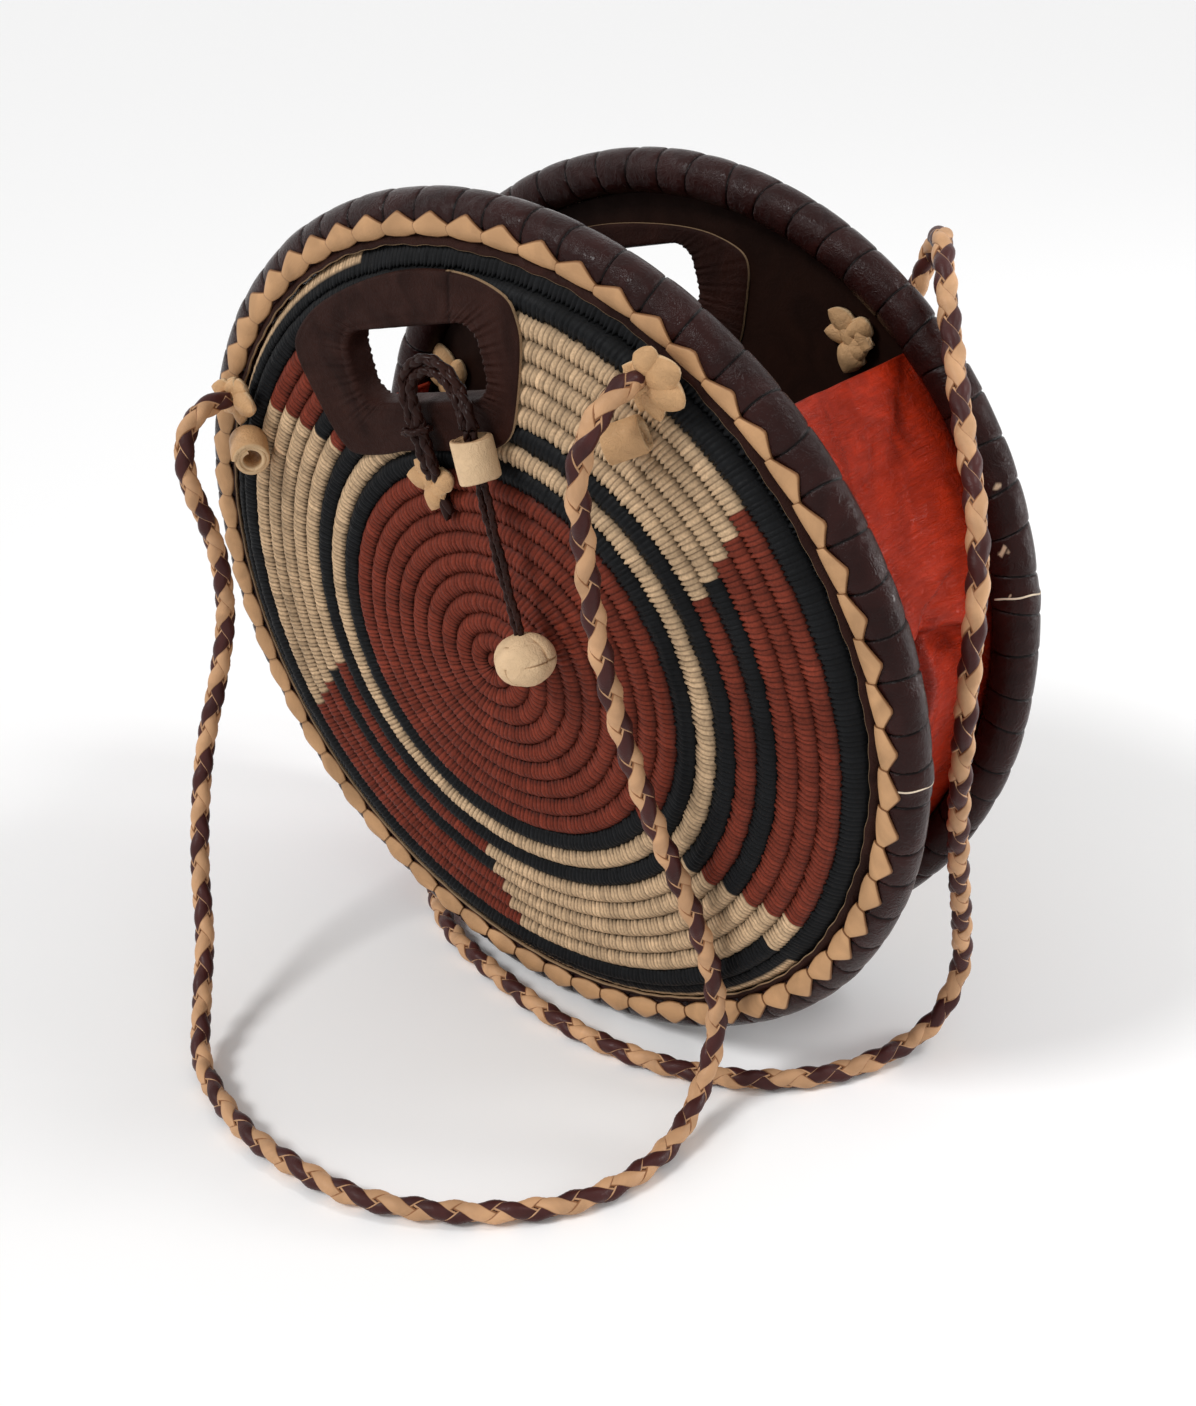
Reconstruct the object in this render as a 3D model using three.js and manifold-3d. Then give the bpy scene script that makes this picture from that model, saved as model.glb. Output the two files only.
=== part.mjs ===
// A round handbag: two domed discs of coiled basketry with leather rims, a soft leather gusset
// between them round the bottom and the sides, a hand hole in each disc and two braided straps.
// Millimetres, +Z up. The bag stands on its two rims, rolled a little to one side, with its front
// disc facing -Y and the straps lying on the table. The origin is under the middle of the bag.
import * as THREE from 'three';
import { mergeVertices } from 'three/addons/utils/BufferGeometryUtils.js';
import Module from 'manifold-3d';

const wasm = await Module();
wasm.setup();

// Driving dimensions of the discs
const frontRadius = 180;
const rearRadius = 174.7;
const rollRadius = 9;
const edgeTuck = 1.2;
const crownHeight = 23.8;
const shoulderHeight = 12.7;
const shoulderInset = 21;
const shoulderSlope = 0.4;
const domePower = 1.4;
const basketThickness = 7;
const liningThickness = 1.5;
const clearance = 0.3;

// How the discs stand
const frontLean = 7;
const rearLean = 1;
const bagRoll = 13.5;
const discSpacing = 104.4;
const rearShift = 10.7;
const footDepth = 1.2;

// Leather trim round the face
const bandWidth = 5.3;
const trimThickness = 1.6;
const lacingWidth = 9.3;
const lacingThickness = 2.3;

// Hand hole and its facing
const holeWidth = 71;
const holeHeight = 27.5;
const holeCornerRadius = 9;
const holeBottom = 106.5;
const holeShift = 3;
const facingMargin = 17.5;
const facingHalfWidth = 50;
const facingFlare = 12;
const backingMargin = 4;
const bindingWall = 1.2;

// Gusset
const gussetThickness = 1.8;
const gussetSag = 9;
const mouthHalfAngle = 57;
const bottomHalfAngle = 34;
const panelJoinGap = 0.5;

// Straps and their knots
const strapDiameter = 9.2;
const strapAngle = 45.2;
const strapInset = 22;
const rearStrapAngleLeft = 56;
const rearStrapAngleRight = 50;
const rearStrapInset = 31.5;
const knotRadius = 12;
const knotHeight = 6;
const knotWaist = 0.62;
const beadRadius = 6.6;
const beadBore = 3.2;
const beadLength = 15;
const beadIn = 9;
const beadDown = 19;

// Closure
const cordWidth = 8;
const cordThickness = 4.6;
const anchorHeight = 75;
const anchorRadius = 10;
const anchorThickness = 5;
const archLeg = 3;
const archFoot = 12;
const archRise = 14.5;
const archLift = 7.5;
const sliderRadius = 7.8;
const sliderLength = 15;
const sliderSeat = 2.6;
const ballRadius = 10.5;
const ballGap = 3;
const tailTop = { x: 33.3, y: 97.5 };
const tailEnd = { x: 34.1, y: 12 };
const keeperRadius = 1.6;

// How finely round things are cut
const ringSegments = 48;
const domeSteps = [0, 0.2, 0.38, 0.56, 0.72, 0.87];
const lacingSteps = [0, 0.35, 0.7, 1];
const rollSides = 10;
const cordSides = 8;
const frontStrapSteps = 38;
const rearStrapSteps = 43;
const archSteps = 24;
const beadSides = 14;
const ballSegments = 16;
const ballRings = 10;
const keeperSegments = 16;
const roundingSegments = 5;
const gussetColumns = 6;
const gussetSideSteps = 12;
const gussetBottomSteps = 10;

// Routes of the straps on the table, a point at each place that the cord passes
const frontStrapRoute = [
  [-133, -70.98, 256.83], [-133.5, -77, 256.4], [-133.6, -85.9, 253.8], [-133, -92.9, 246.8],
  [-132.2, -95.6, 236.5], [-132.2, -93.2, 223], [-134, -86.5, 207], [-136.5, -80.5, 185],
  [-138.5, -79.5, 160], [-140, -86, 133], [-140, -96, 107], [-136, -106, 81],
  [-127, -117, 56], [-113, -129, 35], [-96, -147, 17], [-77, -164, 7.5],
  [-54, -174, 4.9], [-27, -181, 4.8], [1, -182, 4.8], [29, -179, 4.8],
  [55, -168, 4.8], [78, -151, 4.8], [96, -130, 4.8], [105, -104, 5],
  [105, -78, 6.6], [101, -56, 16], [100, -46, 34], [100, -47, 58],
  [98, -54, 86], [94, -62, 112], [90, -71, 138], [86, -79, 165],
  [83, -86, 192], [80, -91.5, 221], [79.5, -97.5, 258], [82.3, -102.8, 284],
  [85, -99.4, 298.2], [86.4, -92.2, 305.8], [86.5, -83.4, 308.85], [86.19, -77.42, 309.06],
];
const rearStrapRoute = [
  [77.2, 80.62, 288.34], [77.5, 86.6, 288.7], [78, 95.6, 290.8], [79.6, 103.6, 297.6],
  [82.4, 106, 308], [89, 101, 319], [99, 88.5, 325], [109, 74, 320],
  [121, 59.5, 305.5], [146, 32, 275], [158, 20, 260], [170, 6, 238],
  [176.5, -6, 192], [173, 1, 154], [165, 20, 110], [157, 43, 64],
  [153, 52, 36], [148.5, 42.5, 13.5], [139, 16, 5.6], [124, -11, 4.9],
  [98, -33, 4.8], [61, -46, 4.8], [20, -48, 4.8], [-25, -40, 4.8],
  [-64, -28, 4.8], [-97, -6, 4.8], [-121, 24, 4.8], [-135, 54, 5],
  [-142, 76, 8], [-146, 93, 19], [-147.5, 101.5, 40], [-147.5, 104, 68],
  [-147, 104.5, 100], [-146, 105, 135], [-145, 106.5, 170], [-144.4, 107.5, 195],
  [-144, 106.5, 208], [-143.6, 102, 217.5], [-143.2, 94.4, 222.5], [-142.7, 85.5, 223.6],
  [-142.16, 79.5, 223.39],
];

// Colours of the real materials
const looks = {
  coil: { color: 0x8c4232, roughness: 0.75 },
  darkLeather: { color: 0x3c2422, roughness: 0.5 },
  lining: { color: 0x2c1a18, roughness: 0.7 },
  lacing: { color: 0xcda069, roughness: 0.6 },
  redLeather: { color: 0xaf3723, roughness: 0.4 },
  strap: { color: 0xd2a078, roughness: 0.6 },
  tanLeather: { color: 0xe1c39b, roughness: 0.6 },
  darkCord: { color: 0x2a1c1c, roughness: 0.5 },
};

const radians = THREE.MathUtils.degToRad;

// A disc's sizes. Its round pieces start their turn where a side, not a corner, meets the table.
const discSizes = (radius, roll) => ({
  radius,
  rollCentre: radius - rollRadius,
  faceRadius: radius - shoulderInset,
  innerEdge: radius - 2 * rollRadius - clearance,
  turnStart: radians(-roll) + Math.PI / ringSegments,
});

function named(name, geometry, look) {
  const material = new THREE.MeshStandardMaterial({ ...looks[look], metalness: 0 });
  const mesh = new THREE.Mesh(geometry, material);
  mesh.name = name;
  return mesh;
}

// Solids for joining and cutting
function toSolid(geometry) {
  const plain = geometry.clone();
  plain.deleteAttribute('normal');
  plain.deleteAttribute('uv');
  const merged = mergeVertices(plain, 1e-4);
  const vertProperties = new Float32Array(merged.attributes.position.array);
  const triVerts = new Uint32Array(merged.index.array);
  return new wasm.Manifold(new wasm.Mesh({ numProp: 3, vertProperties, triVerts }));
}

function toGeometry(solid) {
  const { vertProperties, triVerts } = solid.getMesh();
  const geometry = new THREE.BufferGeometry();
  geometry.setAttribute('position', new THREE.BufferAttribute(new Float32Array(vertProperties), 3));
  geometry.setIndex(new THREE.BufferAttribute(new Uint32Array(triVerts), 1));
  return geometry;
}

// Height of a disc's outer face above its rim plane, at a distance from its centre
function faceHeight(size, r) {
  const inner = Math.min(r, size.faceRadius) / size.faceRadius;
  const dome = shoulderHeight + (crownHeight - shoulderHeight) * (1 - inner ** domePower);
  return dome - shoulderSlope * Math.max(0, r - size.faceRadius);
}

// A solid of revolution about Z from a profile of [distance, height] pairs
function revolve(profile, segments = ringSegments, turnStart = 0) {
  const points = profile.map(([r, h]) => new THREE.Vector2(r, h));
  return new THREE.LatheGeometry(points, segments, turnStart).rotateX(Math.PI / 2);
}

// A closed ring about Z from a section that doesn't reach the axis
const revolveRing = (section, segments, turnStart) => (
  revolve([...section, section[0]], segments, turnStart)
);

// A domed shell that follows the face between two offsets from it
function domeShell(size, low, high, edge = size.innerEdge) {
  const radii = [...domeSteps.map((part) => part * size.faceRadius), size.faceRadius, edge];
  const top = radii.map((r) => [r, faceHeight(size, r) + high]);
  const bottom = radii.map((r) => [r, faceHeight(size, r) + low]);
  return revolve([...bottom, ...top.reverse()], ringSegments, size.turnStart);
}

// Outline of the hand hole, grown by a margin
function holeShape(margin) {
  const corner = holeCornerRadius + margin;
  const left = holeShift - holeWidth / 2 + holeCornerRadius;
  const right = left + holeWidth - 2 * holeCornerRadius;
  const low = holeBottom + holeCornerRadius;
  const high = low + holeHeight - 2 * holeCornerRadius;
  const quarter = Math.PI / 2;
  const shape = new THREE.Shape();
  shape.absarc(right, low, corner, -quarter, 0);
  shape.absarc(right, high, corner, 0, quarter);
  shape.absarc(left, high, corner, quarter, 2 * quarter);
  shape.absarc(left, low, corner, 2 * quarter, 3 * quarter);
  shape.closePath();
  return shape;
}

// Outline of the facing: it flares towards the rim, where the band covers its edge
function facingShape(size, margin) {
  const outer = size.faceRadius - 2 * clearance - margin;
  const half = facingHalfWidth - margin;
  const flared = half + facingFlare;
  const low = holeBottom - facingMargin + margin;
  const side = Math.acos(flared / outer);
  const shape = new THREE.Shape();
  shape.moveTo(-half, low);
  shape.lineTo(half, low);
  shape.lineTo(outer * Math.cos(side), outer * Math.sin(side));
  shape.absarc(0, 0, outer, side, Math.PI - side);
  shape.closePath();
  return shape;
}

// A straight prism of an outline through the whole disc
function prism(shape) {
  const depth = 4 * crownHeight;
  const options = { depth, bevelEnabled: false, curveSegments: roundingSegments };
  const geometry = new THREE.ExtrudeGeometry(shape, options);
  return toSolid(geometry.translate(0, 0, -depth / 2));
}

// The pieces of one disc, face along +Z and the bag's own upward axis along +Y
function makeDisc(prefix, size) {
  const disc = new THREE.Group();
  const liningTop = -basketThickness - clearance;
  const liningLow = liningTop - liningThickness;
  const hole = prism(holeShape(0));
  const wideHole = prism(holeShape(bindingWall + clearance));

  const basketEdge = size.innerEdge + edgeTuck;
  const basket = toSolid(domeShell(size, -basketThickness, 0, basketEdge)).subtract(wideHole);
  disc.add(named(`${prefix}_basket`, toGeometry(basket), 'coil'));
  const lining = toSolid(domeShell(size, liningLow, liningTop)).subtract(wideHole);
  disc.add(named(`${prefix}_lining`, toGeometry(lining), 'lining'));

  disc.add(named(`${prefix}_rim_roll`, rollGeometry(size), 'darkLeather'));
  disc.add(named(`${prefix}_rim_band`, bandGeometry(size), 'darkLeather'));
  disc.add(named(`${prefix}_rim_lacing`, lacingGeometry(size), 'lacing'));

  const outerLow = clearance;
  const outerHigh = outerLow + trimThickness;
  const innerHigh = liningLow - clearance;
  const innerLow = innerHigh - trimThickness;
  const plate = toSolid(domeShell(size, outerLow, outerHigh)).intersect(prism(facingShape(size, 0)));
  const wall = toSolid(domeShell(size, innerLow, outerHigh)).intersect(prism(holeShape(bindingWall)));
  const facing = plate.add(wall).subtract(hole);
  disc.add(named(`${prefix}_handle_facing`, toGeometry(facing), 'darkLeather'));
  const backShape = prism(facingShape(size, backingMargin));
  const back = toSolid(domeShell(size, innerLow, innerHigh)).intersect(backShape);
  disc.add(named(`${prefix}_handle_backing`, toGeometry(back.subtract(wideHole)), 'darkLeather'));
  return disc;
}

function rollGeometry(size) {
  const section = [];
  for (let i = 0; i < rollSides; i += 1) {
    const angle = (2 * Math.PI * (i + 0.5)) / rollSides;
    section.push([size.rollCentre + rollRadius * Math.cos(angle), rollRadius * Math.sin(angle)]);
  }
  return revolveRing(section, ringSegments, size.turnStart);
}

function bandGeometry(size) {
  const inner = size.faceRadius;
  const outer = inner + bandWidth;
  const low = (r) => faceHeight(size, r) + clearance;
  return revolveRing([
    [inner, low(inner)], [outer, low(outer)],
    [outer, low(outer) + trimThickness], [inner, low(inner) + trimThickness],
  ], ringSegments, size.turnStart);
}

// The lacing is a strip that lies over the inner shoulder of the roll
function lacingGeometry(size) {
  const inner = size.faceRadius + bandWidth + clearance;
  const outer = inner + lacingWidth;
  const seat = (r) => Math.sqrt((rollRadius + clearance) ** 2 - (r - size.rollCentre) ** 2);
  const radii = lacingSteps.map((part) => inner + part * (outer - inner));
  const under = radii.map((r) => [r, seat(r)]);
  const top = rollRadius + clearance + lacingThickness;
  const shoulder = top - lacingThickness / 3;
  const over = [[inner, shoulder], [radii[1], top], [radii[2], top], [outer, shoulder]];
  return revolveRing([...under, ...over.reverse()], ringSegments, size.turnStart);
}

// The place on a disc's face above (x, y), and the direction out of the face there
function facePoint(size, x, y, lift = 0) {
  const r = Math.hypot(x, y);
  const step = 0.5;
  const slope = (faceHeight(size, r + step) - faceHeight(size, r - step)) / (2 * step);
  const normal = new THREE.Vector3((-slope * x) / r, (-slope * y) / r, 1).normalize();
  const place = new THREE.Vector3(x, y, faceHeight(size, r)).addScaledVector(normal, lift);
  return { place, normal };
}

// Places a piece on a disc's face, its +Z out of the face
function onFace(size, piece, x, y, lift = 0) {
  const { place, normal } = facePoint(size, x, y, lift);
  const holder = new THREE.Group();
  holder.add(piece);
  holder.position.copy(place);
  holder.quaternion.setFromUnitVectors(new THREE.Vector3(0, 0, 1), normal);
  return holder;
}

// A knot of leather tips: a four pointed star with a crowned top
function starKnot(radius, height) {
  const shape = new THREE.Shape();
  const waist = radius * knotWaist;
  for (let i = 0; i < 8; i += 1) {
    const angle = (Math.PI * i) / 4;
    const reach = i % 2 === 0 ? radius : waist;
    const x = reach * Math.cos(angle);
    const y = reach * Math.sin(angle);
    if (i === 0) shape.moveTo(x, y);
    else shape.lineTo(x, y);
  }
  shape.closePath();
  const bevel = height / 4;
  const geometry = new THREE.ExtrudeGeometry(shape, {
    depth: height - 2 * bevel,
    bevelThickness: bevel,
    bevelSize: bevel,
    bevelOffset: -bevel,
    bevelSegments: 2,
  });
  return geometry.translate(0, 0, bevel);
}

// A rolled leather bead: a short tube, its axis along Z
function beadGeometry(radius, bore, length) {
  const half = length / 2;
  const round = radius * 0.2;
  const section = [
    [bore, -half], [radius - round, -half], [radius, -half + round],
    [radius, half - round], [radius - round, half], [bore, half],
  ];
  return revolveRing(section, beadSides);
}

// A tube along a smooth curve through points, with an oval section
function tubeAlong(points, wide, thick, sides, steps) {
  const shape = new THREE.Shape();
  for (let i = 0; i < sides; i += 1) {
    const angle = (2 * Math.PI * (i + 0.5)) / sides;
    const x = (wide / 2) * Math.cos(angle);
    const y = (thick / 2) * Math.sin(angle);
    if (i === 0) shape.moveTo(x, y);
    else shape.lineTo(x, y);
  }
  shape.closePath();
  const extrudePath = new THREE.CatmullRomCurve3(points.map((p) => new THREE.Vector3(...p)));
  return new THREE.ExtrudeGeometry(shape, { steps, extrudePath, bevelEnabled: false });
}

// A flat strap with half-round ends, from the origin along -Y, its width along X
function strapLink(length, wide, thick) {
  const half = thick / 2;
  const side = new THREE.Shape();
  side.absarc(0, 0, half, -Math.PI / 2, Math.PI / 2);
  side.absarc(-length, 0, half, Math.PI / 2, 1.5 * Math.PI);
  const options = { depth: wide, bevelEnabled: false, curveSegments: roundingSegments };
  const geometry = new THREE.ExtrudeGeometry(side, options);
  return geometry.translate(0, 0, -wide / 2).rotateY(Math.PI / 2).rotateX(Math.PI / 2);
}

// Pieces of the closure, on the front disc
function addClosure(disc, size) {
  const anchor = named('closure_anchor_knot', starKnot(anchorRadius, anchorThickness), 'tanLeather');
  disc.add(onFace(size, anchor, 0, anchorHeight, clearance));

  // the tail hangs from the slider to the ball, turning about its top end
  const boreRadius = Math.hypot(cordWidth, cordThickness) / 2 + clearance;
  const tailLift = trimThickness + 2 * clearance + sliderRadius;
  const top = facePoint(size, tailTop.x, tailTop.y, tailLift).place;
  const end = facePoint(size, tailEnd.x, tailEnd.y, ballGap + ballRadius).place;
  const along = end.clone().sub(top).normalize();
  const tail = new THREE.Group();
  tail.position.copy(top);
  tail.quaternion.setFromUnitVectors(new THREE.Vector3(0, -1, 0), along);
  const cordEnd = cordThickness / 2;
  const tailLength = top.distanceTo(end) - ballRadius - clearance - cordEnd;
  tail.add(named('closure_tail', strapLink(tailLength, cordWidth, cordThickness), 'darkCord'));
  const rolled = beadGeometry(sliderRadius, boreRadius, sliderLength);
  const slider = named('closure_slider', rolled, 'tanLeather');
  slider.rotation.x = Math.PI / 2;
  slider.position.y = -sliderSeat - sliderLength / 2;
  tail.add(slider);
  const sphere = new THREE.SphereGeometry(ballRadius, ballSegments, ballRings);
  const ball = named('closure_ball', sphere, 'tanLeather');
  ball.position.y = -top.distanceTo(end);
  tail.add(ball);
  disc.add(tail);

  // the cord rises from its anchor, arches in front of the hole and turns down to the tail
  const start = facePoint(size, 0, anchorHeight, 2 * clearance + anchorThickness);
  const out = (distance) => start.place.clone().addScaledVector(start.normal, distance).toArray();
  const before = (distance) => top.clone().addScaledVector(along, -distance).toArray();
  const over = (x, y) => facePoint(size, x, y, archLift).place.toArray();
  const halfSpan = (tailTop.x - archLeg) / 2;
  const spring = holeBottom + archRise - halfSpan;
  const turns = [180, 150, 120, 90, 60, 30].map(radians);
  const turned = (turn) => (
    over(archLeg + halfSpan * (1 + Math.cos(turn)), spring + halfSpan * Math.sin(turn))
  );
  const route = [
    out(0),
    out(cordThickness),
    over(archLeg, anchorHeight + archFoot),
    over(archLeg, spring - cordWidth),
    ...turns.map(turned),
    before(cordWidth),
    before(cordEnd + clearance),
  ];
  const arch = tubeAlong(route, cordWidth, cordThickness, cordSides, archSteps);
  disc.add(named('closure_arch', arch, 'darkCord'));

  const keeperSeat = keeperRadius + clearance;
  const keeperWide = cordWidth / 2 + keeperSeat;
  const keeperThick = cordThickness / 2 + keeperSeat;
  const keeper = new THREE.TorusGeometry(keeperWide, keeperRadius, cordSides, keeperSegments);
  keeper.scale(1, keeperThick / keeperWide, 1);
  const keeperLoop = named('closure_keeper_loop', keeper, 'darkCord');
  keeperLoop.rotation.x = Math.PI / 2;
  disc.add(onFace(size, keeperLoop, archLeg, spring - cordWidth, archLift));
}

// A knot on a disc's face at a strap's place, and the bead that hangs below it
function addStrapFittings(disc, size) {
  for (const [side, sign] of [['left', -1], ['right', 1]]) {
    const angle = Math.PI / 2 - sign * radians(strapAngle);
    const reach = size.radius - strapInset;
    const x = reach * Math.cos(angle);
    const y = reach * Math.sin(angle);
    const knot = named(`front_strap_knot_${side}`, starKnot(knotRadius, knotHeight), 'tanLeather');
    disc.add(onFace(size, knot, x, y, trimThickness + 2 * clearance));
    const rolled = beadGeometry(beadRadius, beadBore, beadLength);
    const bead = named(`front_strap_bead_${side}`, rolled, 'tanLeather');
    bead.rotation.x = Math.PI / 2;
    disc.add(onFace(size, bead, x - sign * beadIn, y - beadDown, beadRadius + 2 * clearance));
  }
}

// A knot on the inner side of the rear disc at each end of its strap
function addInnerKnots(disc, size) {
  const depth = basketThickness + liningThickness + 2 * clearance;
  const turns = { left: rearStrapAngleLeft, right: -rearStrapAngleRight };
  for (const [side, turn] of Object.entries(turns)) {
    const angle = Math.PI / 2 - radians(turn);
    const reach = size.radius - rearStrapInset;
    const knot = named(`rear_strap_knot_${side}`, starKnot(knotRadius, knotHeight), 'tanLeather');
    knot.rotation.x = Math.PI;
    disc.add(onFace(size, knot, reach * Math.cos(angle), reach * Math.sin(angle), -depth - clearance));
  }
}

// One stretch of the gusset: a sheet between the two rims that sags inward in its middle
function gussetGeometry(ringAt, fromAngle, toAngle, steps) {
  const rows = steps + 1;
  const columns = gussetColumns + 1;
  const grid = [];
  for (const offset of [0, gussetThickness]) {
    for (let i = 0; i < rows; i += 1) {
      const angle = radians(fromAngle + ((toAngle - fromAngle) * i) / steps);
      const [front, rear] = ringAt(angle, offset);
      for (let j = 0; j < columns; j += 1) {
        const t = j / gussetColumns;
        const point = front.clone().lerp(rear, t);
        const inward = new THREE.Vector3(-Math.cos(angle), 0, -Math.sin(angle));
        grid.push(point.addScaledVector(inward, gussetSag * Math.sin(Math.PI * t)));
      }
    }
  }
  const layer = rows * columns;
  const at = (side, i, j) => side * layer + i * columns + j;
  const index = [];
  const quad = (a, b, c, d) => index.push(a, b, c, a, c, d);
  for (let i = 0; i < steps; i += 1) {
    for (let j = 0; j < gussetColumns; j += 1) {
      quad(at(0, i, j), at(0, i, j + 1), at(0, i + 1, j + 1), at(0, i + 1, j));
      quad(at(1, i, j), at(1, i + 1, j), at(1, i + 1, j + 1), at(1, i, j + 1));
    }
    quad(at(0, i, 0), at(0, i + 1, 0), at(1, i + 1, 0), at(1, i, 0));
    const last = gussetColumns;
    quad(at(0, i, last), at(1, i, last), at(1, i + 1, last), at(0, i + 1, last));
  }
  for (let j = 0; j < gussetColumns; j += 1) {
    quad(at(0, 0, j), at(1, 0, j), at(1, 0, j + 1), at(0, 0, j + 1));
    quad(at(0, steps, j), at(0, steps, j + 1), at(1, steps, j + 1), at(1, steps, j));
  }
  const geometry = new THREE.BufferGeometry();
  geometry.setAttribute('position', new THREE.Float32BufferAttribute(grid.flatMap((p) => p.toArray()), 3));
  geometry.setIndex(index);
  return geometry;
}

// A disc's group in the bag: its face turned outward, leaned and rolled
function standDisc(size, lean, turn, roll) {
  const stand = new THREE.Group();
  stand.rotation.z = turn;
  const leaned = new THREE.Group();
  leaned.rotation.x = radians(90 + lean);
  leaned.position.z = rollRadius + size.rollCentre * Math.cos(radians(lean));
  const rolled = new THREE.Group();
  rolled.rotation.z = radians(roll);
  stand.add(leaned);
  leaned.add(rolled);
  return { stand, rolled };
}

// Cuts a small flat where a rim stands on the table
function cutFoot(mesh) {
  mesh.updateWorldMatrix(true, false);
  const wide = 8 * frontRadius;
  const deep = 2 * frontRadius;
  const block = new THREE.BoxGeometry(wide, wide, deep).translate(0, 0, footDepth - deep / 2);
  block.applyMatrix4(mesh.matrixWorld.clone().invert());
  mesh.geometry = toGeometry(toSolid(mesh.geometry).subtract(toSolid(block)));
}

const bag = new THREE.Group();
const frontSize = discSizes(frontRadius, bagRoll);
const rearSize = discSizes(rearRadius, -bagRoll);
const front = standDisc(frontSize, frontLean, 0, bagRoll);
const rear = standDisc(rearSize, rearLean, Math.PI, -bagRoll);
rear.stand.position.set(-rearShift, discSpacing, 0);

const frontDisc = makeDisc('front', frontSize);
addStrapFittings(frontDisc, frontSize);
addClosure(frontDisc, frontSize);
front.rolled.add(frontDisc);
const rearDisc = makeDisc('rear', rearSize);
addInnerKnots(rearDisc, rearSize);
rear.rolled.add(rearDisc);
bag.add(front.stand, rear.stand);
bag.updateMatrixWorld(true);
cutFoot(frontDisc.getObjectByName('front_rim_roll'));
cutFoot(rearDisc.getObjectByName('rear_rim_roll'));

// The gusset runs from just inside one rim to just inside the other, at the same angle on both
function gussetRing(angle, offset) {
  const bagAngle = angle - radians(bagRoll);
  const onDisc = (group, size, turned) => {
    const reach = size.innerEdge - offset;
    const x = reach * Math.cos(bagAngle) * turned;
    return group.localToWorld(new THREE.Vector3(x, reach * Math.sin(bagAngle), 0));
  };
  return [onDisc(front.rolled, frontSize, 1), onDisc(rear.rolled, rearSize, -1)];
}
const upward = 90 + bagRoll;
const gap = (180 * panelJoinGap) / (Math.PI * frontRadius);
const below = upward - 180;
const rightFrom = below + bottomHalfAngle + gap;
const leftTo = upward + 180 - bottomHalfAngle - gap;
const stretches = [
  ['gusset_right', rightFrom, upward - mouthHalfAngle, gussetSideSteps, 'redLeather'],
  ['gusset_left', upward + mouthHalfAngle, leftTo, gussetSideSteps, 'redLeather'],
  ['gusset_bottom', below - bottomHalfAngle, below + bottomHalfAngle, gussetBottomSteps, 'darkLeather'],
];
for (const [name, from, to, steps, look] of stretches) {
  bag.add(named(name, gussetGeometry(gussetRing, from, to, steps), look));
}

// The bag is set down with the middle of its base on the origin
bag.updateMatrixWorld(true);
const bounds = new THREE.Box3().setFromObject(bag, true);
const middle = bounds.getCenter(new THREE.Vector3());
bag.position.set(-middle.x, -middle.y, -bounds.min.z);

const handbag = new THREE.Group();
handbag.add(bag);
const strap = (route, steps) => tubeAlong(route, strapDiameter, strapDiameter, cordSides, steps);
handbag.add(named('front_strap', strap(frontStrapRoute, frontStrapSteps), 'strap'));
handbag.add(named('rear_strap', strap(rearStrapRoute, rearStrapSteps), 'strap'));
handbag.updateMatrixWorld(true);

export default handbag;
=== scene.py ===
# Round woven handbag: coiled basket discs, leather rims and gusset, braided straps, toggle closure
import math

import bpy
import numpy as np
from bpy.props import FloatProperty, FloatVectorProperty, IntProperty, PointerProperty
from mathutils import Matrix, Vector


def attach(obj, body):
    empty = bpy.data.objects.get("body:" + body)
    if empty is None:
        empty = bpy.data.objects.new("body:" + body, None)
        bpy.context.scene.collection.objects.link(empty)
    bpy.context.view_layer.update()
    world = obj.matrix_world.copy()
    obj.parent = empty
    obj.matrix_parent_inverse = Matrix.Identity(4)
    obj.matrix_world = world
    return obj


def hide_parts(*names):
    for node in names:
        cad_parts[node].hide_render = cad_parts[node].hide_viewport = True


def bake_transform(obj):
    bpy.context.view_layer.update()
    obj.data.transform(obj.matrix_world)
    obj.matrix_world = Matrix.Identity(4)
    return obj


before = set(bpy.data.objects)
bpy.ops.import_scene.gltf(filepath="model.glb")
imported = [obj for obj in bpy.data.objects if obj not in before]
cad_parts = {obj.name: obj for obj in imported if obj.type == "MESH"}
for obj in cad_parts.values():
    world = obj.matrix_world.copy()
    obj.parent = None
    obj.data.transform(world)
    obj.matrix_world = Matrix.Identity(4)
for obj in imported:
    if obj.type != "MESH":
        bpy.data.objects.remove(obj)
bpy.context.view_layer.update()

bl_info = {
    "name": "Round woven handbag",
    "version": (1, 0, 0),
    "blender": (4, 5, 0),
    "location": "3D View > Sidebar > Handbag",
    "description": "Builds a round handbag of coiled basketry, leather and braided straps",
    "category": "Add Mesh",
}

MM = 0.001

# Routes of the straps, in millimetres
FRONT_ROUTE = [
    (-133, -71, 256.8), (-133.5, -77, 256.4), (-133.6, -85.9, 253.8), (-133, -92.9, 246.8),
    (-132.2, -95.6, 236.5), (-132.2, -93.2, 223), (-134, -86.5, 207), (-136.5, -80.5, 185),
    (-138.5, -79.5, 160), (-140, -86, 133), (-140, -96, 107), (-136, -106, 81), (-127, -117, 56),
    (-113, -129, 35), (-96, -147, 17), (-77, -164, 7.5), (-54, -174, 4.9), (-27, -181, 4.8),
    (1, -182, 4.8), (29, -179, 4.8), (55, -168, 4.8), (78, -151, 4.8), (96, -130, 4.8), (105, -104, 5),
    (105, -78, 6.6), (101, -56, 16), (100, -46, 34), (100, -47, 58), (98, -54, 86), (94, -62, 112),
    (90, -71, 138), (86, -79, 165), (83, -86, 192), (80, -91.5, 221), (79.5, -97.5, 258),
    (82.3, -102.8, 284), (85, -99.4, 298.2), (86.4, -92.2, 305.8), (86.5, -83.4, 308.9),
    (86.2, -77.4, 309.1),
]
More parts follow.
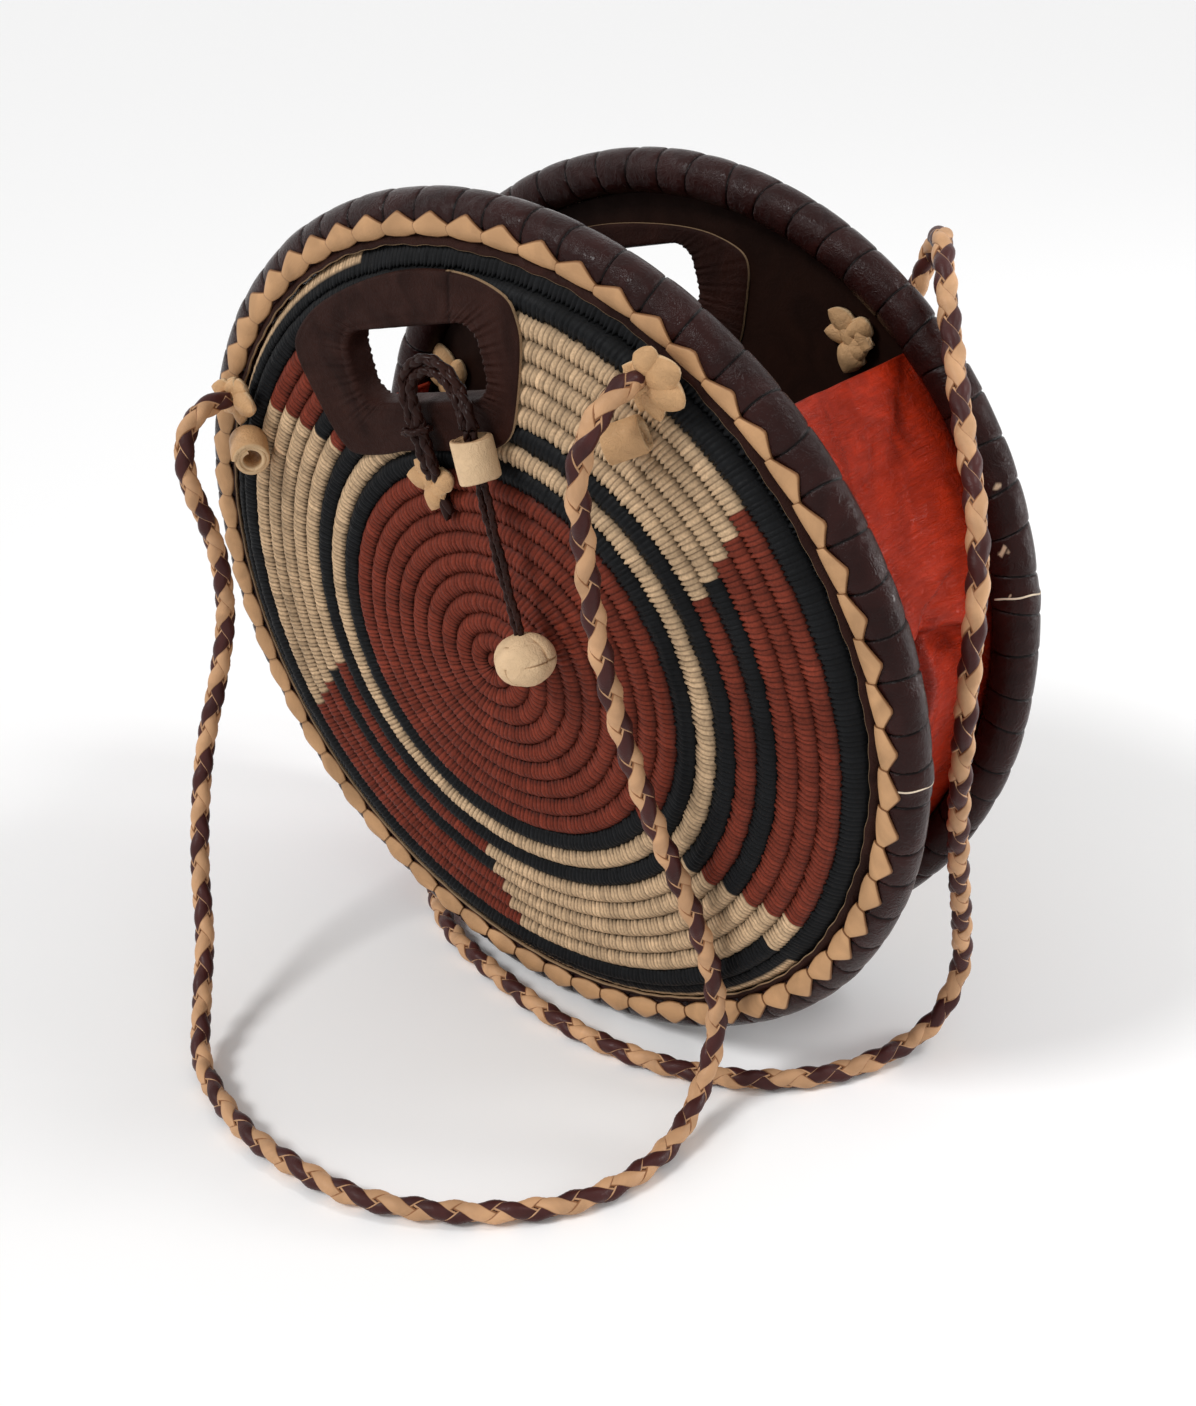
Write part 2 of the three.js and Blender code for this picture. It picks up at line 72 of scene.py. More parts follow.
REAR_ROUTE = [
    (77.2, 80.6, 288.3), (77.5, 86.6, 288.7), (78, 95.6, 290.8), (79.6, 103.6, 297.6), (82.4, 106, 308),
    (89, 101, 319), (99, 88.5, 325), (109, 74, 320), (121, 59.5, 305.5), (146, 32, 275), (158, 20, 260),
    (170, 6, 238), (176.5, -6, 192), (173, 1, 154), (165, 20, 110), (157, 43, 64), (153, 52, 36),
    (148.5, 42.5, 13.5), (139, 16, 5.6), (124, -11, 4.9), (98, -33, 4.8), (61, -46, 4.8), (20, -48, 4.8),
    (-25, -40, 4.8), (-64, -28, 4.8), (-97, -6, 4.8), (-121, 24, 4.8), (-135, 54, 5), (-142, 76, 8),
    (-146, 93, 19), (-147.5, 101.5, 40), (-147.5, 104, 68), (-147, 104.5, 100), (-146, 105, 135),
    (-145, 106.5, 170), (-144.4, 107.5, 195), (-144, 106.5, 208), (-143.6, 102, 217.5),
    (-143.2, 94.4, 222.5), (-142.7, 85.5, 223.6), (-142.16, 79.5, 223.39),
]


def linear(red, green, blue):
    """A colour as seen, 0 to 255, as the linear values that a shader takes."""
    shades = [c / 255 for c in (red, green, blue)]
    return tuple(c / 12.92 if c <= 0.04045 else ((c + 0.055) / 1.055) ** 2.4 for c in shades)


def length(name, millimetres, about):
    return FloatProperty(name=name, description=about, default=millimetres * MM, unit="LENGTH", precision=4)


def colour(name, shade, about):
    return FloatVectorProperty(name=name, description=about, default=linear(*shade), size=3, subtype="COLOR",
                               min=0, max=1)


class HandbagSizes(bpy.types.PropertyGroup):
    """Sizes of the handbag that a user would change"""
    front_radius: length("Front disc", 180, "Radius of the front disc with its rim")
    rear_radius: length("Rear disc", 174.7, "Radius of the rear disc with its rim")
    roll_radius: length("Rim roll", 9, "Radius of the padded leather roll")
    coil_pitch: length("Coil pitch", 8.36, "Distance between rows of the coil")
    coil_depth: length("Groove depth", 3.9, "Depth of the groove between two rows")
    stitch: length("Stitch", 2.1, "Width of one raffia wrap")
    strap_diameter: length("Strap", 9.2, "Thickness of the braided straps")
    strap_turn: length("Braid turn", 30, "Length of one full turn of the braid")
    rim_stitches: IntProperty(name="Rim stitches", description="Stitches round a rim", default=64, min=24)


class HandbagColours(bpy.types.PropertyGroup):
    """Colours of the handbag that a user would change"""
    red_raffia: colour("Red raffia", (112, 46, 31), "Wraps of the middle and of the red sectors")
    pale_raffia: colour("Natural raffia", (194, 164, 130), "Wraps of the pale sectors")
    black_raffia: colour("Black raffia", (15, 16, 18), "Wraps of the dark rings")
    roll_leather: colour("Roll leather", (40, 18, 16), "Padded rolls of the rims")
    dark_leather: colour("Dark leather", (40, 20, 15), "Bands, facings and gusset bottom")
    lining: colour("Lining", (32, 17, 12), "Inner side of the discs")
    red_leather: colour("Red leather", (174, 44, 17), "Gusset")
    tan_leather: colour("Tan leather", (198, 156, 112), "Knots and beads of the straps")
    pale_leather: colour("Pale leather", (218, 186, 148), "Slider and ball")
    lacing: colour("Lacing", (186, 144, 104), "Lacing of the rims")
    strap_tan: colour("Strap tan", (193, 150, 112), "Pale strands of the straps")
    strap_brown: colour("Strap brown", (66, 34, 32), "Dark strands of the straps")
    lap: colour("Rim lap", (206, 188, 166), "Raw edge where a rim's leather laps")
    cord: colour("Cord", (38, 18, 13), "Braided cord of the closure")


class Disc:
    """One disc of the bag: where it stands, and how its face is domed."""

    def __init__(self, prefix, body, radius, centre, across, upward, outward):
        self.prefix = prefix
        self.body = body
        self.radius = radius
        self.flat = radius - 21 * MM
        self.roll_centre = radius - 9 * MM
        self.inner_edge = radius - 18.3 * MM
        self.centre = np.array(centre)
        self.axes = np.array([across, upward, outward])

    def height(self, r):
        """Height of the outer face above the rim's plane, at a distance from the middle."""
        inner = np.minimum(r, self.flat) / self.flat
        dome = 12.7 * MM + 11.1 * MM * (1 - inner**1.4)
        return dome - 0.4 * np.maximum(0, r - self.flat)

    def skin(self, r):
        """Height of the outer face as it is seen, rolled down towards the rim."""
        t = np.clip((r - self.flat + 6 * MM) / (7 * MM), 0, 1)
        return self.height(r) - 3.9 * MM * t * t * (3 - 2 * t)

    def place(self, x, y, up):
        """Points of the disc's own frame in the row frame."""
        local = np.stack(np.broadcast_arrays(x, y, up), -1)
        return self.centre + local @ self.axes

    def turn(self, vectors):
        return np.asarray(vectors, float) @ self.axes

    def normal(self, x, y):
        r = np.hypot(x, y) + 1e-9
        slope = (self.height(r + 0.0005) - self.height(r - 0.0005)) / 0.001
        vector = np.array([-slope * x / r, -slope * y / r, 1.0])
        return vector / np.linalg.norm(vector)

    def above(self, x, y, lift):
        """The place over the face at x, y, lifted along the face's normal, in the disc's own frame."""
        return np.array([x, y, self.height(np.hypot(x, y))]) + lift * self.normal(x, y)


FRONT = Disc("front", "front_panel", 180 * MM, (0.0027057, -0.0398231, 0.1775254),
             (0.97237, -0.02846, 0.23169), (-0.23345, -0.11853, 0.96508), (0, -0.99254, -0.12190))
REAR = Disc("rear", "rear_panel", 174.7 * MM, (-0.0079943, 0.0645769, 0.1734748),
            (-0.97237, -0.00407, -0.23341), (-0.23345, 0.01697, 0.97222), (0, 0.99985, -0.01745))
# How far the bag is rolled over to its left
LEAN = math.radians(13.5)

# The hand hole in its disc's frame
HOLE_MIDDLE = np.array([3, 120.25]) * MM
HOLE_HALF = np.array([35.5, 13.75]) * MM
HOLE_CORNER = 9 * MM


# Meshes

def make_piece(name, points, faces, materials, slots=None, **values):
    """A mesh object from points and faces, with named values on its points."""
    mesh = bpy.data.meshes.new(name)
    faces = [list(map(int, f)) for f in faces]
    mesh.from_pydata(np.asarray(points, float).tolist(), [], faces)
    mesh.polygons.foreach_set("use_smooth", [True] * len(faces))
    for material in materials:
        mesh.materials.append(material)
    if slots is not None:
        mesh.polygons.foreach_set("material_index", [int(s) for s in slots])
    for key, data in values.items():
        data = np.asarray(data, np.float32)
        if data.ndim == 2:
            attribute = mesh.attributes.new(key, "FLOAT_COLOR", "POINT")
            attribute.data.foreach_set("color", np.c_[data, np.ones(len(data), np.float32)].ravel())
        else:
            mesh.attributes.new(key, "FLOAT", "POINT").data.foreach_set("value", data)
    mesh.update()
    piece = bpy.data.objects.new(name, mesh)
    bpy.context.scene.collection.objects.link(piece)
    return piece


def settle(piece, body, slot, *nodes):
    """Joins a piece to its body and hides the frame's nodes that it stands for. Its slot is not used."""
    if nodes:
        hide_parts(*nodes)
    if body:
        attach(piece, body)
    return piece


def grid_faces(rows, columns, close_rows=False, close_columns=False):
    """Faces of a grid of points, in rows of columns."""
    i = np.arange(rows if close_rows else rows - 1)
    j = np.arange(columns if close_columns else columns - 1)
    i, j = np.meshgrid(i, j, indexing="ij")
    up, right = (i + 1) % rows, (j + 1) % columns
    quads = np.stack([i * columns + j, i * columns + right, up * columns + right, up * columns + j], -1)
    return quads.reshape(-1, 4)


def unit(vectors):
    return vectors / np.maximum(np.linalg.norm(vectors, axis=-1, keepdims=True), 1e-12)


def smooth_path(points, step):
    """A smooth curve through points, as even steps along it, and its length in metres."""
    points = np.asarray(points, float)
    padded = np.vstack([2 * points[0] - points[1], points, 2 * points[-1] - points[-2]])
    dense = []
    for p0, p1, p2, p3 in zip(padded, padded[1:], padded[2:], padded[3:]):
        d0, d1, d2 = (math.sqrt(np.linalg.norm(b - a)) for a, b in ((p0, p1), (p1, p2), (p2, p3)))
        t1 = ((p1 - p0) / d0 - (p2 - p0) / (d0 + d1) + (p2 - p1) / d1) * d1
        t2 = ((p2 - p1) / d1 - (p3 - p1) / (d1 + d2) + (p3 - p2) / d2) * d1
        t = np.linspace(0, 1, 24, endpoint=False)[:, None]
        bend, twist = -3 * p1 + 3 * p2 - 2 * t1 - t2, 2 * p1 - 2 * p2 + t1 + t2
        dense.append(p1 + t1 * t + bend * t**2 + twist * t**3)
    dense = np.vstack([*dense, points[-1:]])
    along = np.r_[0, np.cumsum(np.linalg.norm(np.diff(dense, axis=0), axis=1))]
    even = np.linspace(0, along[-1], int(along[-1] / step) + 1)
    return np.stack([np.interp(even, along, dense[:, k]) for k in range(3)], -1), along[-1]


def steady_frames(path, first=(0, 0, 1)):
    """Directions along, beside and out from a path that don't twist about it."""
    along = unit(np.gradient(path, axis=0))
    side = np.cross(along[0], first)
    side /= np.linalg.norm(side)
    sides = []
    for direction in along:
        side = side - direction * side.dot(direction)
        side /= np.linalg.norm(side)
        sides.append(side)
    sides = np.array(sides)
    return along, sides, np.cross(sides, along)


SECTION = np.array([(-1, -0.45), (-1, 0.05), (-0.8, 0.32), (-0.4, 0.46), (0, 0.5), (0.4, 0.46), (0.8, 0.32),
                    (1, 0.05), (1, -0.45), (0, -0.5)])
SECTION_RAW = np.array([1, 1, 0.25, 0, 0, 0, 0.25, 1, 1, 0])


def strip(centres, sides, outs, widths, thickness, bow=0.0):
    """A flat leather strip along a line: points, faces and how raw the leather is at each point."""
    centres = np.asarray(centres, float)
    widths = np.broadcast_to(np.asarray(widths, float), len(centres))
    half = SECTION[None, :, 0] * widths[:, None] / 2
    rise = SECTION[None, :, 1] * thickness - bow * half**2
    points = centres[:, None] + half[..., None] * sides[:, None] + rise[..., None] * outs[:, None]
    columns = len(SECTION)
    faces = grid_faces(len(centres), columns, close_columns=True)[:, ::-1].tolist()
    faces.append(list(range(columns)))
    faces.append([len(centres) * columns - 1 - k for k in range(columns)])
    raw = np.tile(SECTION_RAW, (len(centres), 1))
    raw[0] = raw[-1] = 1
    return points.reshape(-1, 3), faces, raw.ravel()


class Heap:
    """Collects strips and other surfaces into one mesh."""

    def __init__(self):
        self.points, self.faces, self.raw, self.slots, self.count = [], [], [], [], 0

    def add(self, points, faces, raw, slot=0):
        self.points.append(points)
        self.faces.extend((np.asarray(f) + self.count).tolist() for f in faces)
        self.raw.append(raw)
        self.slots.extend([slot] * len(faces))
        self.count += len(points)

    def strip(self, centres, sides, outs, widths, thickness, slot=0, bow=0.0):
        self.add(*strip(centres, sides, outs, widths, thickness, bow=bow), slot)

    def piece(self, name, materials):
        return make_piece(name, np.vstack(self.points), self.faces, materials, self.slots,
                          raw=np.concatenate(self.raw))


# How much of a braid's surface its strands cover, and its core's share of the strands' radius
BRAID_COVER = 0.72
BRAID_CORE = 0.86


def braid(heap, path, diameter, turn, slots=(0, 1), phase=0.0):
    """Four leather strands round a path, two each way, each over one and under the next."""
    along, sides, outs = steady_frames(path)
    step = np.linalg.norm(path[1] - path[0])
    s = np.arange(len(path)) * step
    thickness = 0.15 * diameter
    wave = 0.07 * diameter
    middle = diameter / 2 - wave - thickness / 2
    # A core of the second slot's leather fills the braid. On the straps this is the dark brown of the real
    # strands, put there as painted shade in the gaps between them.
    core_turn = np.linspace(0, 2 * np.pi, 8, endpoint=False)
    ring = np.cos(core_turn)[:, None, None] * sides + np.sin(core_turn)[:, None, None] * outs
    core = (path + BRAID_CORE * middle * ring).transpose(1, 0, 2).reshape(-1, 3)
    heap.add(core, grid_faces(len(path), 8, close_columns=True), np.zeros(len(core)), slots[1])
    pace = math.hypot(1, 2 * np.pi * middle / turn)
    width = BRAID_COVER * np.pi * middle / pace
    for k in range(4):
        hand = 1 if k % 2 == 0 else -1
        angle = hand * 2 * np.pi * s / turn + np.pi * (k // 2) + phase
        reach = middle + hand * wave * np.cos(4 * np.pi * s / turn)
        out = np.cos(angle)[:, None] * sides + np.sin(angle)[:, None] * outs
        centres = path + reach[:, None] * out
        direction = unit(np.gradient(centres, axis=0))
        out = unit(out - direction * np.sum(out * direction, axis=1, keepdims=True))
        beside = np.cross(direction, out)
        heap.strip(centres, beside, out, width, thickness, slots[k // 2], bow=0.4 / middle)


# Materials

def new_group(name, inputs, outputs):
    """An empty shader node group with named values in and out."""
    tree = bpy.data.node_groups.new(name, "ShaderNodeTree")
    for label, default in inputs:
        socket = tree.interface.new_socket(name=label, in_out="INPUT", socket_type="NodeSocketFloat")
        socket.default_value = default
    for label in outputs:
        tree.interface.new_socket(name=label, in_out="OUTPUT", socket_type="NodeSocketFloat")
    return tree, tree.nodes.new("NodeGroupInput"), tree.nodes.new("NodeGroupOutput")


def node(tree, kind, links=(), **settings):
    """A node with its settings, and with its inputs linked or set."""
    made = tree.nodes.new(kind)
    for key, value in settings.items():
        setattr(made, key, value)
    for socket, source in dict(links).items():
        if isinstance(source, bpy.types.NodeSocket):
            tree.links.new(source, made.inputs[socket])
        else:
            made.inputs[socket].default_value = source
    return made


def math_node(tree, operation, first, second=0.0):
    return node(tree, "ShaderNodeMath", {0: first, 1: second}, operation=operation).outputs[0]


def noise(tree, place, **settings):
    """A noise texture at a place, as a value about 0.5."""
    links = {"Vector": place, **{key.title(): value for key, value in settings.items()}}
    return node(tree, "ShaderNodeTexNoise", links).outputs[0]


def spread(tree, source, low, high, start=0.3, end=0.7):
    """A value that goes from low to high while its source goes from start to end."""
    return node(tree, "ShaderNodeMapRange", {0: source, 1: start, 2: end, 3: low, 4: high}).outputs[0]


def painted(tree, name, output="Fac"):
    """The named values that a mesh holds on its points."""
    return node(tree, "ShaderNodeAttribute", attribute_name=name).outputs[output]


def mix_colours(tree, factor, first, second, blend="MIX"):
    made = node(tree, "ShaderNodeMix", data_type="RGBA", blend_type=blend)
    for socket, source in ((0, factor), (6, first), (7, second)):
        if isinstance(source, bpy.types.NodeSocket):
            tree.links.new(source, made.inputs[socket])
        else:
            made.inputs[socket].default_value = source
    return made.outputs[2]


def leather_grain():
    """Pores and creases of leather: a height, and a patchiness for its colour."""
    if "Leather grain" in bpy.data.node_groups:
        return bpy.data.node_groups["Leather grain"]
    tree, into, out = new_group(
        "Leather grain", [("Scale", 1.0), ("Creases", 0.5)], ["Height", "Patches"],
    )
    place = node(tree, "ShaderNodeTexCoord").outputs["Object"]
    fine = math_node(tree, "MULTIPLY", into.outputs["Scale"], 1500.0)
    pores = node(tree, "ShaderNodeTexVoronoi", {"Vector": place, "Scale": fine}, feature="SMOOTH_F1")
    patches = noise(tree, place, scale=45.0, detail=4.0, distortion=1.2)
    coarse = math_node(tree, "MULTIPLY", into.outputs["Scale"], 160.0)
    folds = noise(tree, place, scale=coarse, detail=5.0, roughness=0.6, distortion=2.2)
    crease = math_node(tree, "ABSOLUTE", math_node(tree, "SUBTRACT", folds, 0.5))
    sharp = math_node(tree, "MINIMUM", math_node(tree, "MULTIPLY", crease, 9.0), 1.0)
    creased = math_node(tree, "MULTIPLY", sharp, into.outputs["Creases"])
    height = math_node(tree, "ADD", math_node(tree, "MULTIPLY", pores.outputs["Distance"], 0.35), creased)
    tree.links.new(height, out.inputs["Height"])
    tree.links.new(patches, out.inputs["Patches"])
    return tree


def raffia_fibre():
    """Fine streaks and dull patches of dyed raffia."""
    if "Raffia fibre" in bpy.data.node_groups:
        return bpy.data.node_groups["Raffia fibre"]
    tree, into, out = new_group("Raffia fibre", [("Scale", 1.0)], ["Height", "Patches"])
    place = node(tree, "ShaderNodeTexCoord").outputs["Object"]
    fine = math_node(tree, "MULTIPLY", into.outputs["Scale"], 900.0)
    tree.links.new(noise(tree, place, scale=fine, detail=3.0), out.inputs["Height"])
    tree.links.new(noise(tree, place, scale=60.0, detail=5.0, roughness=0.65), out.inputs["Patches"])
    return tree


def place_group(tree, group, **values):
    made = tree.nodes.new("ShaderNodeGroup")
    made.node_tree = group
    for key, value in values.items():
        made.inputs[key].default_value = value
    return made.outputs


def blank_material(name):
    material = bpy.data.materials.new(name)
    material.use_nodes = True
    return material, material.node_tree, material.node_tree.nodes["Principled BSDF"]


def shade(colour, factor):
    return tuple(min(1.0, c * factor) for c in colour) + (1.0,)


def leather(name, colour, rough, creases, depth, gloss, grain=1.0, raw=None, patchy=0.35, edge=(0.55, 0.95),
            wrinkled=False):
    """Leather with pores, creases and patchy dye. Its cut edges take the raw colour; its seams are dark, and
    so is the painted shade that the gusset's creases carry.
    """
    material, tree, shader = blank_material(name)
    texture = place_group(tree, leather_grain(), Scale=grain, Creases=creases)
    height = texture["Height"]
    worn = spread(tree, texture["Patches"], 0.0, 1.0)
    base = mix_colours(tree, worn, shade(colour, 1 - patchy), shade(colour, 1 + patchy))
    if raw is not None:
        cut = spread(tree, painted(tree, "raw"), 0.0, 1.0, *edge)
        base = mix_colours(tree, cut, base, (*linear(*raw), 1.0))
        # Dark along seams, and painted shade in the gusset's creases
        base = mix_colours(tree, painted(tree, "seam"), base, shade(colour, 0.12))
    if wrinkled:
        flow = painted(tree, "flow", "Vector")
        lines = noise(tree, flow, scale=1.0, detail=5.0, roughness=0.62, distortion=0.6)
        height = math_node(tree, "ADD", height, math_node(tree, "MULTIPLY", lines, 3.2))
        # Painted shade: the colour darkens along the wrinkle lines.
        streak = spread(tree, lines, 0.0, 0.5, 0.35, 0.65)
        base = mix_colours(tree, streak, base, shade(colour, 0.45))
    tree.links.new(base, shader.inputs["Base Color"])
    tree.links.new(spread(tree, texture["Patches"], rough + 0.1, rough - 0.08), shader.inputs["Roughness"])
    bump = node(tree, "ShaderNodeBump", {"Height": height, "Strength": depth, "Distance": 0.0006})
    tree.links.new(bump.outputs[0], shader.inputs["Normal"])
    shader.inputs["Specular IOR Level"].default_value = gloss
    return material


def raffia(name):
    """Wrapped raffia: its colour comes from the mesh, dye with painted shade in the grooves, with streaks and
    fading over it.
    """
    material, tree, shader = blank_material(name)
    texture = place_group(tree, raffia_fibre(), Scale=1.0)
    streak = spread(tree, texture["Height"], 0.8, 1.18)
    fade = spread(tree, texture["Patches"], 0.84, 1.14)
    tone = math_node(tree, "MULTIPLY", streak, fade)
    grey = node(tree, "ShaderNodeCombineColor", {0: tone, 1: tone, 2: tone}).outputs[0]
    toned = mix_colours(tree, 1.0, painted(tree, "tint", "Color"), grey, "MULTIPLY")
    tree.links.new(toned, shader.inputs["Base Color"])
    tree.links.new(spread(tree, texture["Patches"], 0.66, 0.5), shader.inputs["Roughness"])
    bump = node(tree, "ShaderNodeBump", {"Height": texture["Height"], "Strength": 0.35, "Distance": 0.0004})
    tree.links.new(bump.outputs[0], shader.inputs["Normal"])
    shader.inputs["Specular IOR Level"].default_value = 0.12
    return material


# Each leather: its dye in HandbagColours, then what leather() takes. A raw edge's colour is as seen.
LEATHERS = {
    "roll leather": ("roll_leather", dict(rough=0.2, creases=0.35, depth=0.5, gloss=0.11,
                                          raw=(186, 160, 134))),
    "dark leather": ("dark_leather", dict(rough=0.55, creases=0.5, depth=0.5, gloss=0.07,
                                          raw=(150, 124, 96))),
    "lining leather": ("lining", dict(rough=0.6, creases=0.25, depth=0.25, gloss=0.06, grain=0.8)),
    "red leather": ("red_leather", dict(rough=0.21, creases=0.6, depth=0.85, gloss=0.14, grain=0.8,
                                        raw=(150, 60, 45), patchy=0.3, wrinkled=True)),
    "lacing leather": ("lacing", dict(rough=0.5, creases=0.2, depth=0.3, gloss=0.15, raw=(118, 80, 50),
                                      patchy=0.2)),
    "lap leather": ("lap", dict(rough=0.5, creases=0.2, depth=0.3, gloss=0.2)),
    "strap tan": ("strap_tan", dict(rough=0.46, creases=0.25, depth=0.3, gloss=0.15, raw=(140, 96, 64),
                                    patchy=0.22, edge=(0.7, 1.0))),
    "strap brown": ("strap_brown", dict(rough=0.36, creases=0.3, depth=0.3, gloss=0.15, raw=(193, 150, 112),
                                        patchy=0.3, edge=(0.75, 1.0))),
    "tan leather": ("tan_leather", dict(rough=0.5, creases=0.45, depth=0.6, gloss=0.2, grain=1.1,
                                        raw=(214, 182, 142), patchy=0.18)),
    "pale leather": ("pale_leather", dict(rough=0.55, creases=0.45, depth=0.6, gloss=0.15, grain=1.1,
                                          raw=(170, 132, 96), patchy=0.12)),
    "cord leather": ("cord", dict(rough=0.28, creases=0.1, depth=0.08, gloss=0.1)),
}


def finishes(name):
    """A material by its plain name, made the first time that it is asked for."""
    made = bpy.data.materials.get(name)
    if made:
        return made
    if name == "raffia":
        return raffia(name)
    dye, settings = LEATHERS[name]
    return leather(name, getattr(bpy.context.scene.handbag_colours, dye), **settings)


# Basketry

RING_STEP = math.radians(-38)
SECTOR_STARTS = (137, 83, 29, -36.2, -104.2, -161.5)
SECTOR_DRIFT = (2.0, 2.0, 2.4, 1.6, 2.0, 2.3)


def row_colours(row, angle, red, pale, black):
    """Colour of a stitch by its row from the middle and its angle in degrees."""
    shades = np.empty((len(row), 3))
    shades[:] = red
    shades[(row == 11) | (row == 13) | (row >= 19)] = black
    shades[row == 12] = pale
    pattern = (row >= 14) & (row <= 18)
    for k, (start, drift) in enumerate(zip(SECTOR_STARTS, SECTOR_DRIFT)):
        begin = start + drift * (row - 14)
        after = (k + 1) % 6
        end = SECTOR_STARTS[after] + SECTOR_DRIFT[after] * (row - 14)
        width = (begin - end) % 360
        inside = pattern & (((begin - angle) % 360) < width)
        shades[inside] = red if k % 2 == 0 else pale
        if k % 2 == 0:
            shades[inside & (row == 15)] = black
    return shades


def hole_reach(x, y):
    """How far a point is outside the hand hole's edge, in metres; less than zero is in the hole."""
    half = HOLE_HALF - HOLE_CORNER
    dx = np.abs(x - HOLE_MIDDLE[0]) - half[0]
    dy = np.abs(y - HOLE_MIDDLE[1]) - half[1]
    outside = np.hypot(np.maximum(dx, 0), np.maximum(dy, 0)) + np.minimum(np.maximum(dx, dy), 0)
    return outside - HOLE_CORNER


# Points of a wrap: their shares along the coil, from the groove beside it, how far they stand out there, and
# their shares across the row, from its inner side
ALONG_WRAP = np.array([0.0, 0.25, 0.5, 0.75])
RIB = np.array([-0.42, 0.0, 0.14, 0.0]) * MM
ACROSS_ROW = np.array([0.0, 0.06, 0.14, 0.26, 0.44, 0.6, 0.76, 0.88, 0.95, 1.0])

# Where the spiral starts from, and how far its rows drift to one side
SPIRAL_START = -7 * MM
ROW_DRIFT = 2.5 * MM
DRIFT_REACH = 150 * MM
DRIFT_ANGLE = math.radians(40)

# Angles between which the outermost rows are pale, in degrees, and the front disc's radius where that starts
PALE_RIM = ((262, 326), (110, 152))
PALE_RIM_RADIUS = 156 * MM


def wrap_places(stitch, pitch, inner, edge, random):
    """Where each wrap of the spiral starts, in turns of the coil."""
    middle = (inner + pitch / 2) / pitch
    first = 1.2 * MM / pitch - middle
    last = (edge + 4 * MM) / pitch - middle
    wraps = int(np.pi * pitch * (last**2 - first**2 + 2 * (last - first) * middle) / stitch)
    jitter = random.uniform(-0.2, 0.2, wraps + 1)
    so_far = (np.arange(wraps + 1) + jitter) * stitch
    return -middle + np.sqrt((first + middle) ** 2 + np.maximum(so_far, 0) / (np.pi * pitch))


def basket_dye_and_shade(disc, row, theta, radius, drift, shadow):
    """Colour of every point of the wraps: their dye, with painted shade in the grooves."""
    shades = bpy.context.scene.handbag_colours
    red, pale, black = (np.array(c) for c in (shades.red_raffia, shades.pale_raffia, shades.black_raffia))
    colours = row_colours(row, np.degrees(theta.mean(axis=(1, 2))), red, pale, black)
    degrees = np.degrees(theta[:, 1, 4]) % 360
    pale_rim = np.any([(degrees > low) & (degrees < high) for low, high in PALE_RIM], axis=0)
    pale_rim &= (row >= 20) & (radius[:, 1, 4] > PALE_RIM_RADIUS * disc.radius / FRONT.radius)
    # Each wrap's random tone, times the painted shade
    tone = (drift[:, None, None] * shadow)[..., None]
    outer_half = (ACROSS_ROW > 0.5) & pale_rim[:, None, None]
    paler = np.broadcast_to(outer_half, theta.shape)[..., None]
    return np.clip(np.where(paler, pale * tone, colours[:, None, None, :] * tone), 0, 1).reshape(-1, 3)


def basket_piece(disc):
    """The coiled basket's outer face, wrap by wrap along its spiral."""
    sizes = bpy.context.scene.handbag_sizes
    scale = disc.radius / FRONT.radius
    pitch = sizes.coil_pitch * scale
    inner = SPIRAL_START * scale
    edge = disc.inner_edge + 1.0 * MM
    random = np.random.default_rng(7 if disc is FRONT else 8)
    turns = wrap_places(sizes.stitch, pitch, inner, edge, random)
    step = np.diff(turns)[:, None, None]
    wraps = len(step)
    arch = np.sin(np.pi * ACROSS_ROW) ** 0.52
    crest = (ALONG_WRAP > 0).astype(float)[:, None]
    root = np.maximum(0, 1 - ACROSS_ROW / 0.25)
    pinched = 0.5 + (ALONG_WRAP[:, None] - 0.5) * (1 - 0.78 * root * crest)
    pinched[0] = 0
    at = turns[:-1, None, None] + step * pinched
    row = np.floor(turns[:-1] + 0.5 * step[:, 0, 0]).astype(int) + 1
    slant = random.uniform(0.15, 0.6, wraps)[:, None, None]
    theta = RING_STEP - 2 * np.pi * (at + step * slant * (ACROSS_ROW - 0.5))
    reach = random.uniform(0.6, 1.5, wraps)[:, None, None] * MM
    teeth = reach * crest * root
    radius = inner + pitch * (at + ACROSS_ROW * 1.02 - 0.01) - teeth
    radius = radius + ROW_DRIFT * (radius / DRIFT_REACH) * np.cos(theta + DRIFT_ANGLE)
    size = random.uniform(-0.22, 0.18, wraps)[:, None, None] * MM
    height = -sizes.coil_depth * (1 - arch) + 0.35 * MM + size + RIB[:, None] * arch + 0.75 * teeth
    radius = np.clip(radius, 0.1 * MM, edge)
    x, y = radius * np.cos(theta - LEAN), radius * np.sin(theta - LEAN)
    points = disc.place(x, y, disc.skin(radius) + height).reshape(-1, 3)
    faces = grid_faces(wraps * len(ALONG_WRAP), len(ACROSS_ROW))
    away = hole_reach(x.reshape(-1), y.reshape(-1))
    keep = (radius.reshape(-1)[faces].min(1) < edge - 1e-6) & (away[faces].max(1) > 3.5 * MM)
    # Painted shade: dark down in the grooves between rows and between the wraps near each row's inner side,
    # with a little painted light on the crests there.
    lit = 0.1 + 0.9 * np.clip((arch - 0.16) * 1.45 + root * crest * 0.3, 0, 1)
    shadow = np.where(crest > 0, 1.0, 0.46 - 0.4 * root) * lit
    tint = basket_dye_and_shade(disc, row, theta, radius, random.normal(1, 0.1, wraps), shadow)
    piece = make_piece(f"{disc.prefix}_coil", points, faces[keep][:, ::-1], [finishes("raffia")], tint=tint)
    return settle(piece, disc.body, "coil", f"{disc.prefix}_basket")


